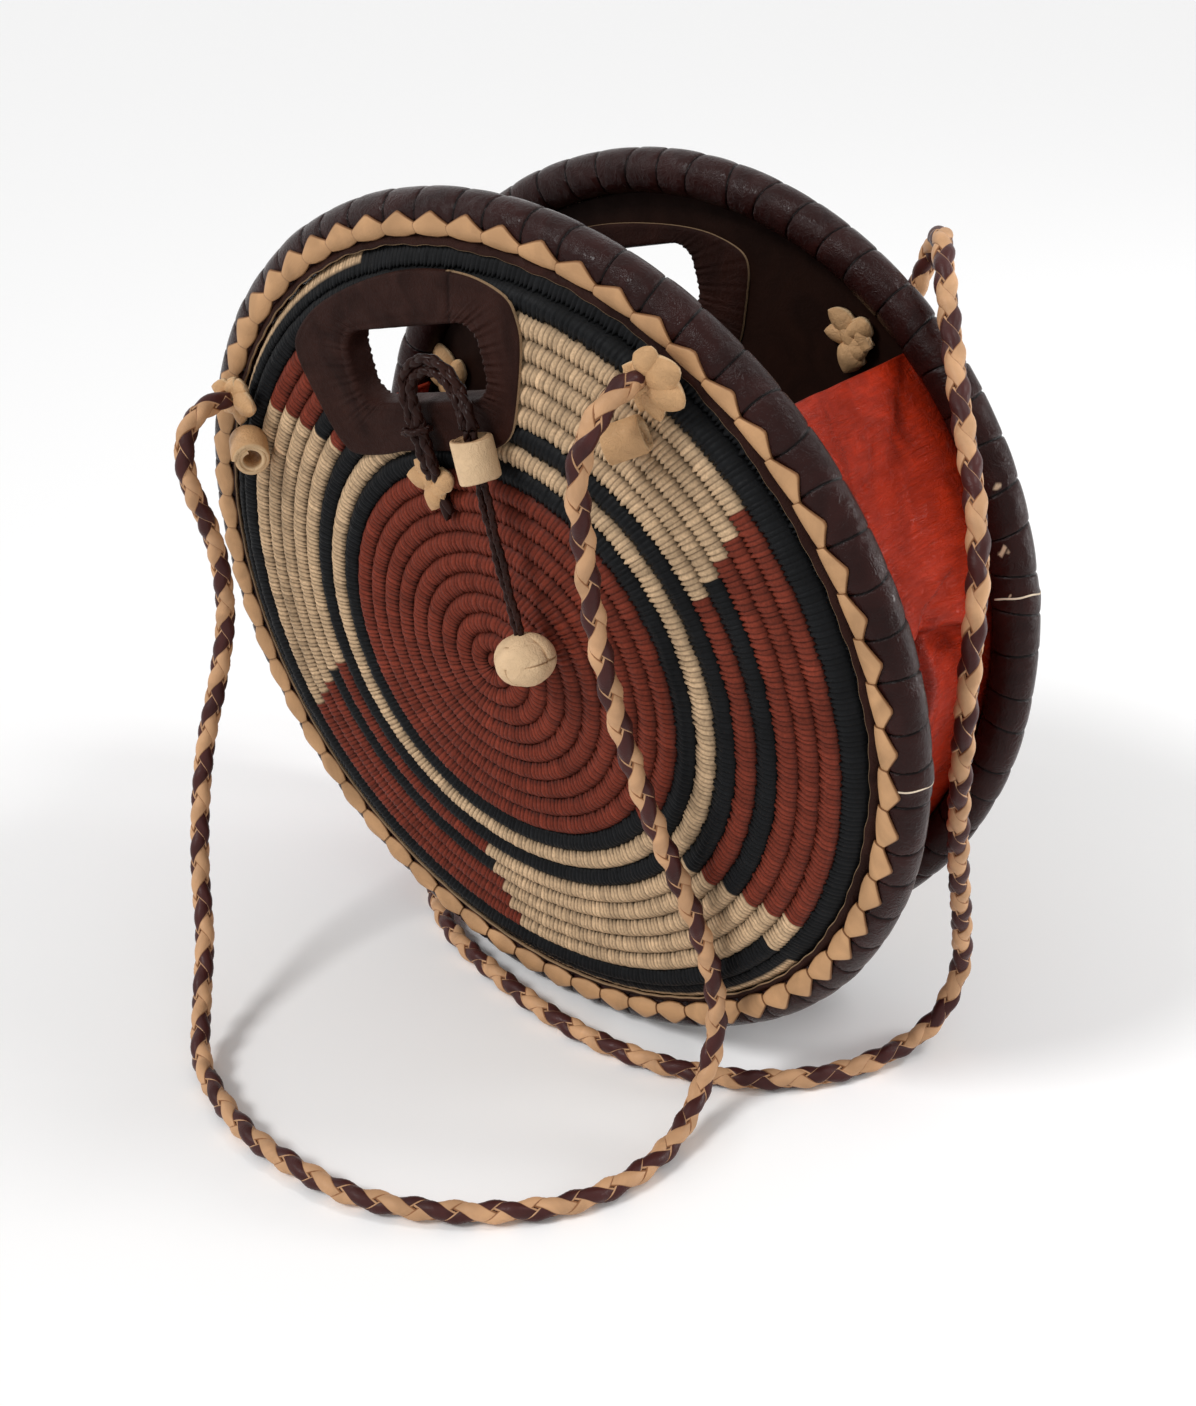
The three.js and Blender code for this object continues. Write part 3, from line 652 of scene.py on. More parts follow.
def lining_piece(disc):
    """The leather lining of a disc's inner side, a little wrinkled."""
    reach = np.linspace(1 * MM, disc.inner_edge, 70)
    angle = np.linspace(0, 2 * np.pi, 180, endpoint=False)
    r, a = np.meshgrid(reach, angle, indexing="ij")
    x, y = r * np.cos(a), r * np.sin(a)
    wave = np.sin(9 * a + 40 * r) * np.sin(r * 120) + 0.6 * np.sin(17 * a - 90 * r)
    outer = disc.place(x, y, disc.height(r) - 7.4 * MM)
    inner = disc.place(x, y, disc.height(r) - 9.0 * MM - 0.25 * MM * (1 + wave / 1.6))
    points = np.vstack([outer.reshape(-1, 3), inner.reshape(-1, 3)])
    count = outer.shape[0] * outer.shape[1]
    away = hole_reach(x.ravel(), y.ravel())
    front = grid_faces(70, 180, close_columns=True)
    keep = away[front].min(1) > 1.6 * MM
    faces = np.vstack([front[keep], count + front[keep][:, ::-1]])
    piece = make_piece(f"{disc.prefix}_lining_skin", points, faces, [finishes("lining leather")])
    return settle(piece, disc.body, "lining", f"{disc.prefix}_lining")


# Leather of the rims

# Scuffs on the rear roll: angle round the rim, angle round the tube, and their reach each way, in degrees
WEAR_MARKS = ((168.6, 307, 0.6, 15), (176.8, 285, 0.7, 20), (183.2, 286, 0.3, 14))


def roll_wear(a, b):
    """How scuffed a roll is, at angles round the rim and round the tube."""
    worn = np.zeros(a.shape)
    for at_a, at_b, wide, tall in WEAR_MARKS:
        bent = 0.4 * np.sin(7 * b + at_a) + 0.3 * np.sin(17 * b)
        away = ((np.degrees(a) - at_a - bent) / wide) ** 2 + ((np.degrees(b) - at_b) / tall) ** 2
        worn = np.maximum(worn, np.exp(-away) * 1.3)
    return worn


def roll_piece(disc, joint_angle):
    """The padded roll, pinched at each stitch and lapped at one place."""
    sizes = bpy.context.scene.handbag_sizes
    count = sizes.rim_stitches
    phases = np.array([0, 0.013, 0.035, 0.07, 0.13, 0.24, 0.37, 0.5, 0.63, 0.76, 0.87, 0.93, 0.965, 0.987])
    random = np.random.default_rng(11 if disc is FRONT else 12)
    shift = random.uniform(-0.09, 0.09, count)
    slope = random.uniform(-0.16, 0.16, count)
    about = np.linspace(0, 2 * np.pi, 40, endpoint=False)
    phase, b = [v.reshape(1, len(phases), len(about)) for v in np.meshgrid(phases, about, indexing="ij")]
    seams = shift[:, None, None] + slope[:, None, None] * np.sin(b + 0.6)
    place = np.arange(count)[:, None, None] + phase + seams * (1 - phase) + np.roll(seams, -1, axis=0) * phase
    near = np.minimum(phase, 1 - phase) + 0 * place
    thread = (near < 0.02) * 1.0
    dent = np.exp(-((near / 0.06) ** 2)) + 0.5 * np.exp(-((near / 0.2) ** 2))
    waves = random.uniform(0, 2 * np.pi, (3, count))[..., None, None]
    pucker = sum(np.sin(k * b + w) for k, w in zip((9, 14, 21), waves)) * np.exp(-((near / 0.16) ** 2))
    slump = np.sin(2 * b + waves[0]) * np.sin(np.pi * phase) + np.sin(b + waves[1])
    a = place / count * 2 * np.pi
    past = np.degrees((a - joint_angle + np.pi) % (2 * np.pi) - np.pi)
    lap = 0.5 * MM * ((past > 0) & (past < 12)) * np.exp(-np.maximum(past, 0) / 6)
    relief = -0.3 * dent - 0.35 * thread + 0.07 * pucker + 0.13 * slump
    tube = sizes.roll_radius + lap + MM * relief
    r = disc.roll_centre + tube * np.cos(b)
    points = disc.place(r * np.cos(a), r * np.sin(a), tube * np.sin(b)).reshape(-1, 3)
    points[:, 2] = np.maximum(points[:, 2], 0)
    faces = grid_faces(count * len(phases), len(about), True, True)
    worn = roll_wear(a, b) if disc is REAR else np.zeros(a.shape)
    piece = make_piece(f"{disc.prefix}_roll", points, faces[:, ::-1], [finishes("roll leather")],
                       raw=worn.ravel(), seam=thread.ravel())
    return settle(piece, disc.body, "dark_leather", f"{disc.prefix}_rim_roll")


def lap_piece(disc, joint_angle):
    """The pale raw edge where the roll's leather laps."""
    heap = Heap()
    turn = np.linspace(math.radians(-115), math.radians(150), 30)
    tube = bpy.context.scene.handbag_sizes.roll_radius + 0.3 * MM
    ray = np.array([math.cos(joint_angle), math.sin(joint_angle), 0])
    outs = np.cos(turn)[:, None] * ray + np.sin(turn)[:, None] * [0, 0, 1]
    ring = ray * disc.roll_centre
    beside = np.tile([-ray[1], ray[0], 0], (30, 1))
    wander = 0.6 * MM * (np.sin(turn * 2) + 0.4 * np.sin(turn * 5))[:, None] * beside
    centres = disc.place(*(ring + tube * outs + wander).T)
    heap.strip(centres, disc.turn(beside), disc.turn(outs), 0.7 * MM, 0.6 * MM)
    edge = heap.piece(f"{disc.prefix}_roll_lap", [finishes("lap leather")])
    return settle(edge, disc.body, "dark_leather")


def band_piece(disc):
    """The flat band inside the roll, with its raw inner edge."""
    inner = disc.flat + 2.9 * MM
    profile = [(0.3, -0.2, 1), (-0.15, 0.7, 1), (0.1, 1.35, 0.9), (0.7, 1.6, 0), (1.7, 1.4, 0), (2.8, 0.7, 0),
               (4, -0.4, 0), (6, -1.6, 0), (5, -2.6, 0), (2, -1.2, 0)]
    outward, rise, raw = np.array(profile).T
    angle = np.linspace(0, 2 * np.pi, 720, endpoint=False)
    wander = 0.22 * np.sin(angle * 37) + 0.2 * np.sin(angle * 91 + 1) + 0.35 * np.sin(angle * 7 + 2)
    r = inner + (outward + wander[:, None]) * MM
    up = disc.skin(np.maximum(r, disc.flat + 1 * MM)) + rise * MM
    points = disc.place(r * np.cos(angle)[:, None], r * np.sin(angle)[:, None], up).reshape(-1, 3)
    raw = np.tile(raw, len(angle))
    faces = grid_faces(len(angle), len(profile), True, True)
    leathers = [finishes("dark leather")]
    piece = make_piece(f"{disc.prefix}_band", points, faces, leathers, raw=raw, seam=raw * 0)
    return settle(piece, disc.body, "dark_leather", f"{disc.prefix}_rim_band")


def lacing_piece(disc):
    """The tan lace round the rim: a chain of flat folds, each lapping over the one before."""
    count = bpy.context.scene.handbag_sizes.rim_stitches
    heap = Heap()
    random = np.random.default_rng(21 if disc is FRONT else 22)
    t = np.array([0, 0.04, 0.1, 0.2, 0.32, 0.44, 0.54, 0.6, 0.65, 0.72, 0.82, 0.92, 1.0, 1.06, 1.13])
    for k in range(count):
        corner, top = 0.58 + random.uniform(-0.04, 0.04), 70 + random.uniform(-2.5, 2.5)
        outer = np.interp(t, [0, corner - 0.04, corner + 0.04, 1, 1.13], [96, top, top + 1, 95, 98])
        begin = 121 + random.uniform(-2, 2)
        inner = np.interp(t, [0, 0.2, 0.5, 0.85, 1.0, 1.13], [begin, 127, 130, 125, 119, 116])
        outer, inner = np.radians(outer), np.radians(inner)
        about = (outer + inner) / 2
        angle = -(k + t + random.uniform(-0.015, 0.015)) * 2 * np.pi / count
        tube = 9.5 * MM + 0.6 * MM * (1 - t / 0.9) + 0.2 * MM * np.sin(np.pi * np.clip(t, 0, 1))
        ray = np.stack([np.cos(angle), np.sin(angle), 0 * angle], -1)
        rise = np.array([0, 0, 1.0])
        outs = np.cos(about)[:, None] * ray + np.sin(about)[:, None] * rise
        sides = np.cos(about)[:, None] * rise - np.sin(about)[:, None] * ray
        centres = disc.place(*(disc.roll_centre * ray + tube[:, None] * outs).T)
        heap.strip(centres, disc.turn(sides), disc.turn(outs), tube * (inner - outer), 1.1 * MM, bow=56)
    piece = heap.piece(f"{disc.prefix}_lace", [finishes("lacing leather")])
    return settle(piece, disc.body, "lacing", f"{disc.prefix}_rim_lacing")


def hole_outline(count):
    """Even points round the hand hole's edge, anticlockwise from its right side, in the disc's frame."""
    quarter = np.linspace(0, np.pi / 2, 16)
    points = []
    for k, signs in enumerate([(1, 1), (-1, 1), (-1, -1), (1, -1)]):
        turn = quarter + k * np.pi / 2
        arc = np.stack([np.cos(turn), np.sin(turn)], -1)
        points.append(signs * (HOLE_HALF - HOLE_CORNER) + HOLE_CORNER * arc)
    points = np.vstack([*points, points[0][:1]])
    along = np.r_[0, np.cumsum(np.linalg.norm(np.diff(points, axis=0), axis=1))]
    even = np.linspace(0, along[-1], count, endpoint=False)
    xy = np.stack([np.interp(even, along, points[:, k]) for k in range(2)], -1)
    return xy + HOLE_MIDDLE


# Corners of the facing's outer edge in the front disc's frame, in millimetres
FACING = [(-45, 86.5), (-27, 86.4), (-13, 88.4), (10, 88), (33.6, 87.5), (43.6, 91.4), (49.3, 101.1),
          (59.2, 124.1), (59.8, 133.2), (57.4, 142.7), (34.9, 152.4), (1.4, 155), (-41.8, 146.7),
          (-62.7, 135), (-65.8, 126.4), (-59.6, 109.9), (-54, 95.8), (-49.5, 89.7)]


def facing_outline(disc, margin):
    """The facing's outer edge with its rounded corners, in the disc's frame."""
    points = np.array(FACING) * MM * [1, 1 if disc is FRONT else 0.965]
    points = points - margin * unit(points - HOLE_MIDDLE)
    for _ in range(3):
        after = np.roll(points, -1, axis=0)
        points = np.stack([0.75 * points + 0.25 * after, 0.25 * points + 0.75 * after], 1).reshape(-1, 2)
    return points


def cast(outline, origin, towards):
    """Where rays from an origin towards points meet a closed outline."""
    meets = []
    begins, ends = outline, np.roll(outline, -1, axis=0)
    for target in towards:
        d = (target - origin) / np.linalg.norm(target - origin)
        edge = ends - begins
        gap = begins - origin
        cross = d[0] * edge[:, 1] - d[1] * edge[:, 0]
        t = (gap[:, 0] * edge[:, 1] - gap[:, 1] * edge[:, 0]) / cross
        s = (gap[:, 0] * d[1] - gap[:, 1] * d[0]) / cross
        good = (t > 0) & (s > -1e-9) & (s < 1 + 1e-9)
        meets.append(origin + d * t[good].min())
    return np.array(meets)


def facing_piece(disc):
    """The leather round the hand hole: over the face, through the hole and over the lining."""
    count = 480
    hole = hole_outline(count)
    face = cast(facing_outline(disc, 0), HOLE_MIDDLE, hole)
    back = cast(facing_outline(disc, 4 * MM), HOLE_MIDDLE, hole)
    corner = np.exp(-((np.abs(np.abs(hole[:, 0] - HOLE_MIDDLE[0]) - 33 * MM) / HOLE_CORNER) ** 2))
    turn = np.linspace(0, 2 * np.pi, count, endpoint=False)
    pleat = corner * (np.sin(turn * 61) + 0.7 * np.sin(turn * 93 + 1)) + 0.3 * np.sin(turn * 23 + 2)
    rings, raws, seams = [], [], []

    def ring(target, distance, rise, raw=0.0, fold=0.0):
        """One ring of points. Its distance from the hole is in metres or, from 0.02 up, a share."""
        span = np.linalg.norm(target - hole, axis=1)
        share = np.clip(distance if distance >= 0.02 else distance / span, -0.2, 1)
        xy = hole + (target - hole) * np.broadcast_to(share, count)[:, None]
        r = np.hypot(xy[:, 0], xy[:, 1])
        line = (xy[:, 0] - 28.5 * MM - 0.3 * (xy[:, 1] - 139 * MM)) / (0.8 * MM)
        seam = np.exp(-(line**2)) * (xy[:, 1] > 134.5 * MM) * (rise > 0)
        base = disc.skin(r) if rise > -5 * MM else disc.height(r)
        rings.append(disc.place(xy[:, 0], xy[:, 1], base + rise + fold * pleat - 0.4 * MM * seam))
        raws.append(raw * (1 - 0.6 * (xy[:, 0] < 30 * MM) * (rise > 0)))
        seams.append(0.6 * seam)

    for share, rise, raw in ((1.0, -9.2, 1), (1.0, -10.1, 1), (0.97, -10.6, 0), (0.8, -10.7, 0),
                             (0.6, -10.7, 0), (0.4, -10.7, 0), (0.2, -10.8, 0)):
        ring(back, share, rise * MM, raw, 0.06 * MM)
    for distance, rise in ((1.2, -10.6), (0.2, -9.6), (0.0, -7), (0.0, -4), (0.0, -1), (0.1, 0.6), (0.6, 1.5),
                           (1.6, 2.0), (3.0, 2.15), (4.2, 1.75), (5.0, 2.1)):
        ring(face, distance * MM, rise * MM, 0, 0.3 * MM)
    for share in (0.34, 0.42, 0.5, 0.58, 0.66, 0.74, 0.82, 0.89, 0.95):
        ring(face, share, 1.95 * MM + 0.15 * MM * math.sin(share * 40), 0, 0.55 * (1 - share) ** 2 * MM)
    for share, rise in ((0.985, 1.75 * MM), (1.0, 1.3 * MM), (1.0, 0.2 * MM)):
        ring(face, share, rise, 1 if share == 1.0 else 0)
    points = np.vstack(rings)
    faces = grid_faces(len(rings), count, False, True)
    piece = make_piece(f"{disc.prefix}_facing", points, faces, [finishes("dark leather")],
                       raw=np.concatenate(raws), seam=np.concatenate(seams))
    nodes = [f"{disc.prefix}_handle_facing", f"{disc.prefix}_handle_backing"]
    return settle(piece, disc.body, "dark_leather", *nodes)


# Gusset

def rim_point(disc, angle, inset):
    """A point on a disc's rim plane, at an angle of the whole bag in radians."""
    turned = 1 if disc is FRONT else -1
    reach = disc.inner_edge - inset
    return disc.place(reach * np.cos(angle - LEAN) * turned, reach * np.sin(angle - LEAN), 0.0)


# Folds of a side piece: both ends as shares of its length and width, then the fold's height, the width of its
# crease and its reach, in millimetres
SIDE_FOLDS = [
    ((0.59, 0.44), (0.575, 0.74), 4.4, 1.6, 15), ((0.575, 0.74), (0.525, 1.0), 3.6, 1.6, 13),
    ((0.575, 0.60), (0.42, 0.52), 3.2, 2.0, 10), ((0.6, 0.47), (0.66, 0.76), 2.6, 3.0, 11),
    ((0.92, 0.78), (1.0, 0.985), 2.0, 2.0, 12), ((0.72, 0.3), (0.96, 0.42), 1.6, 6.0, 18),
    ((0.25, 0.35), (0.28, 0.85), 2.2, 3.0, 12), ((0.82, 0.1), (0.66, 0.4), 1.4, 2.5, 12),
]

# The gusset's side pieces laid flat, and how deep it hangs between the rims
GUSSET_LONG = 250 * MM
GUSSET_WIDE = 104 * MM
GUSSET_SAG = 9 * MM


def fold_relief(a, c, folds):
    """How far the folds stand in from a sheet, and the painted shade of their creases."""
    flat = np.stack([a * GUSSET_LONG, c * GUSSET_WIDE], -1)
    relief, dark = 0 * a, 0 * a
    for begin, end, size, sharp, soft in folds:
        first, last = (np.array(v) * [GUSSET_LONG, GUSSET_WIDE] for v in (begin, end))
        line = last - first
        gap = flat - first
        side = (gap[..., 0] * line[1] - gap[..., 1] * line[0]) / np.linalg.norm(line)
        along = np.clip(gap @ line / (line @ line), 0, 1)
        away = np.linalg.norm(gap - along[..., None] * line, axis=-1)
        relief = relief - size * MM * np.tanh(side / (sharp * MM)) * np.exp(-((away / (soft * MM)) ** 2))
        dark = np.maximum(dark, 0.12 * size * np.exp(-((away / (1.1 * sharp * MM)) ** 2)))
    return relief, dark


def thick_sheet(outer, inner):
    """Points and faces of a sheet between its two sides, each a grid of points."""
    rows, columns = outer.shape[:2]
    count = rows * columns
    skin = grid_faces(rows, columns)
    around = [*range(columns), *range(2 * columns - 1, count, columns),
              *range(count - 2, count - columns - 1, -1), *range(count - 2 * columns, 0, -columns)]
    rim = [[p, q, q + count, p + count] for p, q in zip(around, around[1:] + around[:1])]
    points = np.vstack([outer.reshape(-1, 3), inner.reshape(-1, 3)])
    return points, [*skin[:, ::-1].tolist(), *(skin + count).tolist(), *rim]


def gusset_piece(name, begin, finish, mouth, slot, finish_name, folds):
    """A stretch of soft leather between the rims, with sag and folds. Its mouth is at its start or end."""
    rows, columns = 190, 80
    angle = np.radians(np.linspace(begin, finish, rows))
    across = np.linspace(0, 1, columns)
    front = rim_point(FRONT, angle, 0.4 * MM)
    rear = rim_point(REAR, angle, 0.4 * MM)
    t = across[None, :, None]
    sheet = front[:, None] * (1 - t) + rear[:, None] * t
    inward = np.stack([-np.cos(angle), np.zeros(rows), -np.sin(angle)], -1)[:, None]
    share = np.linspace(0, 1, rows) if mouth != "start" else np.linspace(1, 0, rows)
    sag = GUSSET_SAG * (1 - (0.7 * np.clip((share - 0.85) / 0.15, 0, 1) if mouth else 0 * share))
    depth = sag[:, None] * np.sin(np.pi * across)[None]
    a, c = np.meshgrid(share, across, indexing="ij")
    wave = 1.4 * np.sin(9 * a + 2.5 * np.sin(4 * c)) + 0.9 * np.sin(26 * a + 7 * c)
    wave = wave + 0.45 * np.sin(64 * a + 5 * np.sin(6 * c)) * np.sin(3 * c + 8 * a)
    relief, dark = fold_relief(a, c, folds)
    calm = np.sin(np.pi * across)[None] ** 0.5
    sewn = np.clip(a / 0.06, 0, 1) * (1 if mouth else np.clip((1 - a) / 0.06, 0, 1))
    outer = sheet + inward * (depth + (wave * MM + relief) * calm * sewn)[..., None]
    points, faces = thick_sheet(outer, outer + inward * 1.5 * MM)
    raw = np.zeros((2, rows, columns))
    if mouth:
        raw[:, 0 if mouth == "start" else -1] = 0.8
    flow = np.stack([a * GUSSET_LONG / (1.7 * MM), c * GUSSET_WIDE / (13 * MM), 0 * a], -1).reshape(-1, 3)
    # Painted shade in the creases of the folds; the colour is also darker towards the bottom end of each side
    # piece.
    dark = np.clip(np.maximum(dark, 0.3 * np.clip((0.5 - a) / 0.5, 0, 1)), 0, 0.7)
    piece = make_piece(name, points, faces, [finishes(finish_name)], raw=raw.ravel(),
                       seam=np.tile(dark.ravel(), 2), flow=np.vstack([flow, flow]))
    settle(piece, None, slot, name.replace("_skin", ""))
    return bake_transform(piece)


# Straps, knots and beads

def strap_piece(name, route, node_name):
    """A strap braided along its route, which is in millimetres."""
    sizes = bpy.context.scene.handbag_sizes
    route = np.round(np.array(route) * MM, 6).tolist()
    path, total = smooth_path(route, 1.1 * MM)
    heap = Heap()
    braid(heap, path, sizes.strap_diameter, sizes.strap_turn)
    piece = heap.piece(name, [finishes("strap tan"), finishes("strap brown")])
    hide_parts(node_name)
    if name.startswith("front"):
        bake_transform(piece)
    else:
        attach(piece, "rear_panel")
    return piece


# Leaves of each knot: the tip's x and y from the knot's middle, the height of its foot, the height of its
# tip, its width and its hump, all in millimetres
KNOT_LEAVES = {
    "front_left": [(11, 3.5, 1.5, 3, 10.5, 2), (14.5, -5.5, 2.5, 4, 12, 3), (-1, -12, 1, 2, 9, 2),
                   (-9, 5, 1.5, 5, 10, 2), (-8, -6, 1, 3, 9, 1.5)],
    "front_right": [(16, 1.5, 3, 3.5, 13.5, 4), (14, -10, 1.5, 2.5, 14, 4), (3, -14.5, 1, 2, 9, 3),
                    (-4, -11, 1, 2, 8, 2), (8, 10, 3.5, 4.5, 11, 3.5)],
    "rear_left": [(3, 23, 1, 3, 12, 2), (-9, 14, 1, 3, 10, 2), (11, 12, 1, 3, 10, 2), (-4, -12, 1, 2, 11, 3)],
    "rear_right": [(8.5, 12, 1.5, 4.5, 10, 1.5), (-8, 6.5, 1.5, 4, 9.5, 1.5), (13.5, 3.5, 1, 3, 9, 1.5),
                   (7.5, -13, 1.5, 3, 14, 3.5), (0, -9, 1, 3, 11, 3)],
    "anchor": [(-13, 3, 1, 2.5, 10, 2), (-5, 9.5, 1.5, 4, 8, 1.5), (10.5, 1.5, 1.5, 2.5, 10, 2.5),
               (-5, -10.5, 1, 2, 10, 2.5), (3, -6, 1.5, 2, 7, 2)],
}
LEAF_THICKNESS = 2.7 * MM

# Beads of the front strap: x and y from their knot, height over the face, axis in the row frame, radius,
# length and bore, in millimetres
BEADS = {
    "left": ((7, -21.5), 8.8, (0.777, -0.599, -0.19), 8.1, 16, 3.0),
    "right": ((-10.5, -19.5), 7.6, (0.76, 0.42, 0.36), 7.4, 14, 2.0),
}
TOWARDS_CAMERA = unit(np.array([0.575, -0.676, 0.461]))


def leaf(heap, base, tip, up, width, hump):
    """A rounded leather leaf from a knot out to its tip, humped on its way."""
    t = np.linspace(0, 1, 18)
    centres = base + t[:, None] * (tip - base) + up * (hump * np.sin(np.pi * t**0.8))[:, None]
    direction = unit(np.gradient(centres, axis=0))
    side = unit(np.cross(direction, up))
    belly = 0.68 + 0.32 * np.sin(np.pi * np.minimum(t / 1.1, 1))
    shape = width * np.maximum((1 - t**4.5) ** 0.5 * belly, 0.12)
    heap.strip(centres, side, np.cross(side, direction), shape, LEAF_THICKNESS, bow=70)


def crown(heap, origin, normal, across, radius, height):
    """Four strands that cross each over the next, on top of a knot."""
    upward = np.cross(normal, across)
    for k in range(4):
        a = k * np.pi / 2 + 0.3
        forward = math.cos(a) * across + math.sin(a) * upward
        beside = -math.sin(a) * across + math.cos(a) * upward
        t = np.linspace(-1, 1, 13)
        centres = (origin + (forward * (radius * 0.95)) * t[:, None] + beside * radius * 0.42
                   + normal * (height * (0.55 + 0.45 * np.cos(t * 1.35)) + 0.6 * MM * t)[:, None])
        direction = unit(np.gradient(centres, axis=0))
        outs = unit(normal - direction * (direction @ normal)[:, None])
        heap.strip(centres, np.cross(direction, outs), outs, radius * 0.85, 2.0 * MM, bow=60)


def star_knot(name, disc, x, y, under, leaves, radius, height, inside=False):
    """A knot of strand ends on a disc's face or, turned over, on its inner side."""
    local = disc.above(x, y, under)
    normal = disc.turn(disc.normal(x, y)) * (-1 if inside else 1)
    origin = disc.place(*local)
    across = unit(disc.axes[0] - normal * np.dot(disc.axes[0], normal))
    heap = Heap()
    for dx, dy, low, lift, width, hump in leaves:
        offset = disc.turn([dx * MM, dy * MM, 0])
        offset = offset - normal * offset.dot(normal)
        leaf(heap, origin + normal * low * MM + offset * 0.12, origin + offset + normal * lift * MM, normal,
             width * MM, hump * MM)
    crown(heap, origin + normal * 1.2 * MM, normal, across, radius * 0.62, height * 0.62)
    piece = heap.piece(f"{name}_leaves", [finishes("tan leather")])
    return settle(piece, disc.body, "tan_leather", name)


def rolled_bead(name, body, node_name, centre, axis, out, radius, bore, long, finish_name="tan leather"):
    """Leather rolled up into a bead, its spiral edge at both ends."""
    axis, out = unit(np.asarray(axis, float)), np.asarray(out, float)
    out = unit(out - axis * out.dot(axis))
    beside = np.cross(axis, out)
    layers = 2.2
    turn = np.linspace(0, 2 * np.pi * layers, 150)
    thick = (radius - bore) / (layers + 0.15)
    r = bore + thick / 2 + (radius - bore - thick) * turn / turn[-1]
    ends = long / 2 * (1 - 0.05 * np.sin(turn * 1.3))
    heap = Heap()
    profile = [(-1, -0.42), (-0.98, 0.3), (-0.9, 0.48), (-0.4, 0.5), (0.4, 0.5), (0.9, 0.48), (0.98, 0.3),
               (1, -0.42), (0.4, -0.46), (-0.4, -0.46)]
    raw = [1, 0.8, 0.1, 0, 0, 0.1, 0.8, 1, 0, 0]
    points = []
    for angle, reach, end in zip(turn, r, ends):
        direction = math.cos(angle) * out + math.sin(angle) * beside
        points.extend(centre + axis * end * p + direction * (reach + thick * q) for p, q in profile)
    faces = grid_faces(len(turn), len(profile), close_columns=True).tolist()
    faces += [list(range(len(profile))), [len(points) - 1 - k for k in range(len(profile))]]
    heap.add(np.array(points), faces, np.tile(raw, len(turn)))
    piece = heap.piece(name, [finishes(finish_name)])
    return settle(piece, body, "tan_leather", node_name)


def ball_piece(name, centre, radius):
    """A round knot of flat strands, two round each of its three sides."""
    heap = Heap()
    turn = np.linspace(0, 2 * np.pi, 61)
    _, down, _ = tail_line()
    side_way = unit(FRONT.axes[0] - down * FRONT.axes[0].dot(down))
    frame_of = np.array([side_way, down, np.cross(side_way, down)])
    squash = np.array([1.13, 0.98, 1.04])
    for axis in range(3):
        a, b, c = np.roll(np.eye(3), axis, axis=0)
        for side in (-1, 1):
            over = radius - 1.0 * MM + 0.45 * MM * np.cos(2 * turn + axis * np.pi / 2 + side * 0.5)
            tilt = 0.4 * side
            circle = np.cos(turn)[:, None] * a + np.sin(turn)[:, None] * b
            outs = math.cos(tilt) * circle + math.sin(tilt) * c
            centres = centre + (over[:, None] * outs * squash) @ frame_of
            outs = (outs / squash) @ frame_of
            direction = unit(np.gradient(centres, axis=0))
            outs = unit(outs - direction * np.sum(outs * direction, axis=1, keepdims=True))
            heap.strip(centres, np.cross(direction, outs), outs, 8.6 * MM, 2.2 * MM, bow=34)
    piece = heap.piece(name, [finishes("pale leather")])
    return settle(piece, "closure_tail", "tan_leather", "closure_ball")


# Closure

# The arch's route in the front disc's frame: x, y and height over the face, in millimetres
ARCH_ROUTE = [(0.5, 77, 2.5), (2.5, 81, 5.0), (4.2, 86.5, 7.0), (4.3, 92, 7.5), (3.8, 99, 7.5),
              (3.2, 106, 7.5), (3.4, 112, 7.5), (5.6, 117, 7.5), (10, 120, 7.5), (16, 121.4, 7.5),
              (22, 120, 7.5), (26.8, 115.6, 7.5), (29.6, 109, 7.5)]
KEEPER = (3 * MM, 97.85 * MM)
TAIL_TOP = (33.3 * MM, 97.5 * MM)
TAIL_END = (34.1 * MM, 12 * MM)
TAIL_LIFT = (1.6 + 0.6 + 7.8) * MM
BALL_RADIUS = 10.5 * MM


def tail_line():
    """Top of the tail, its direction down and the ball's centre, in the row frame."""
    top = FRONT.place(*FRONT.above(*TAIL_TOP, TAIL_LIFT))
    end = FRONT.place(*FRONT.above(*TAIL_END, 3 * MM + BALL_RADIUS))
    return top, unit(end - top), end


def arch_line():
    """The cord's route from its anchor over the hole's edge to the tail, in the row frame."""
    top, down, _ = tail_line()
    points = [FRONT.place(*FRONT.above(x * MM, y * MM, lift * MM)) for x, y, lift in ARCH_ROUTE]
    points += [top - down * 5 * MM, top - down * 1 * MM]
    return smooth_path(points, 0.7 * MM)[0]


def twin_cord(heap, path, apart, diameter, turn):
    """Two braided cords side by side."""
    along = unit(np.gradient(path, axis=0))
    out = FRONT.turn([0, 0, 1.0])
    side = unit(np.cross(along, out))
    for sign in (-1, 1):
        lane = path + sign * apart / 2 * side
        braid(heap, lane, diameter, turn, slots=(0, 0), phase=0.6 * sign)


def arch_piece():
    """The doubled cord from its anchor knot over the hole's edge, with two short ends below the knot."""
    heap = Heap()
    out = FRONT.turn([0, 0, 1.0])
    for x, y in ((1.5, 61.5), (4.5, 64)):
        tip = FRONT.place(*FRONT.above(x * MM, y * MM, 2.2 * MM))
        leaf(heap, FRONT.place(*FRONT.above(1 * MM, 72 * MM, 1.2 * MM)), tip, out, 3.6 * MM, 1 * MM)
    twin_cord(heap, arch_line(), 4.1 * MM, 4.9 * MM, 14 * MM)
    piece = heap.piece("closure_cord", [finishes("cord leather")])
    return settle(piece, "front_panel", "dark_cord", "closure_arch")


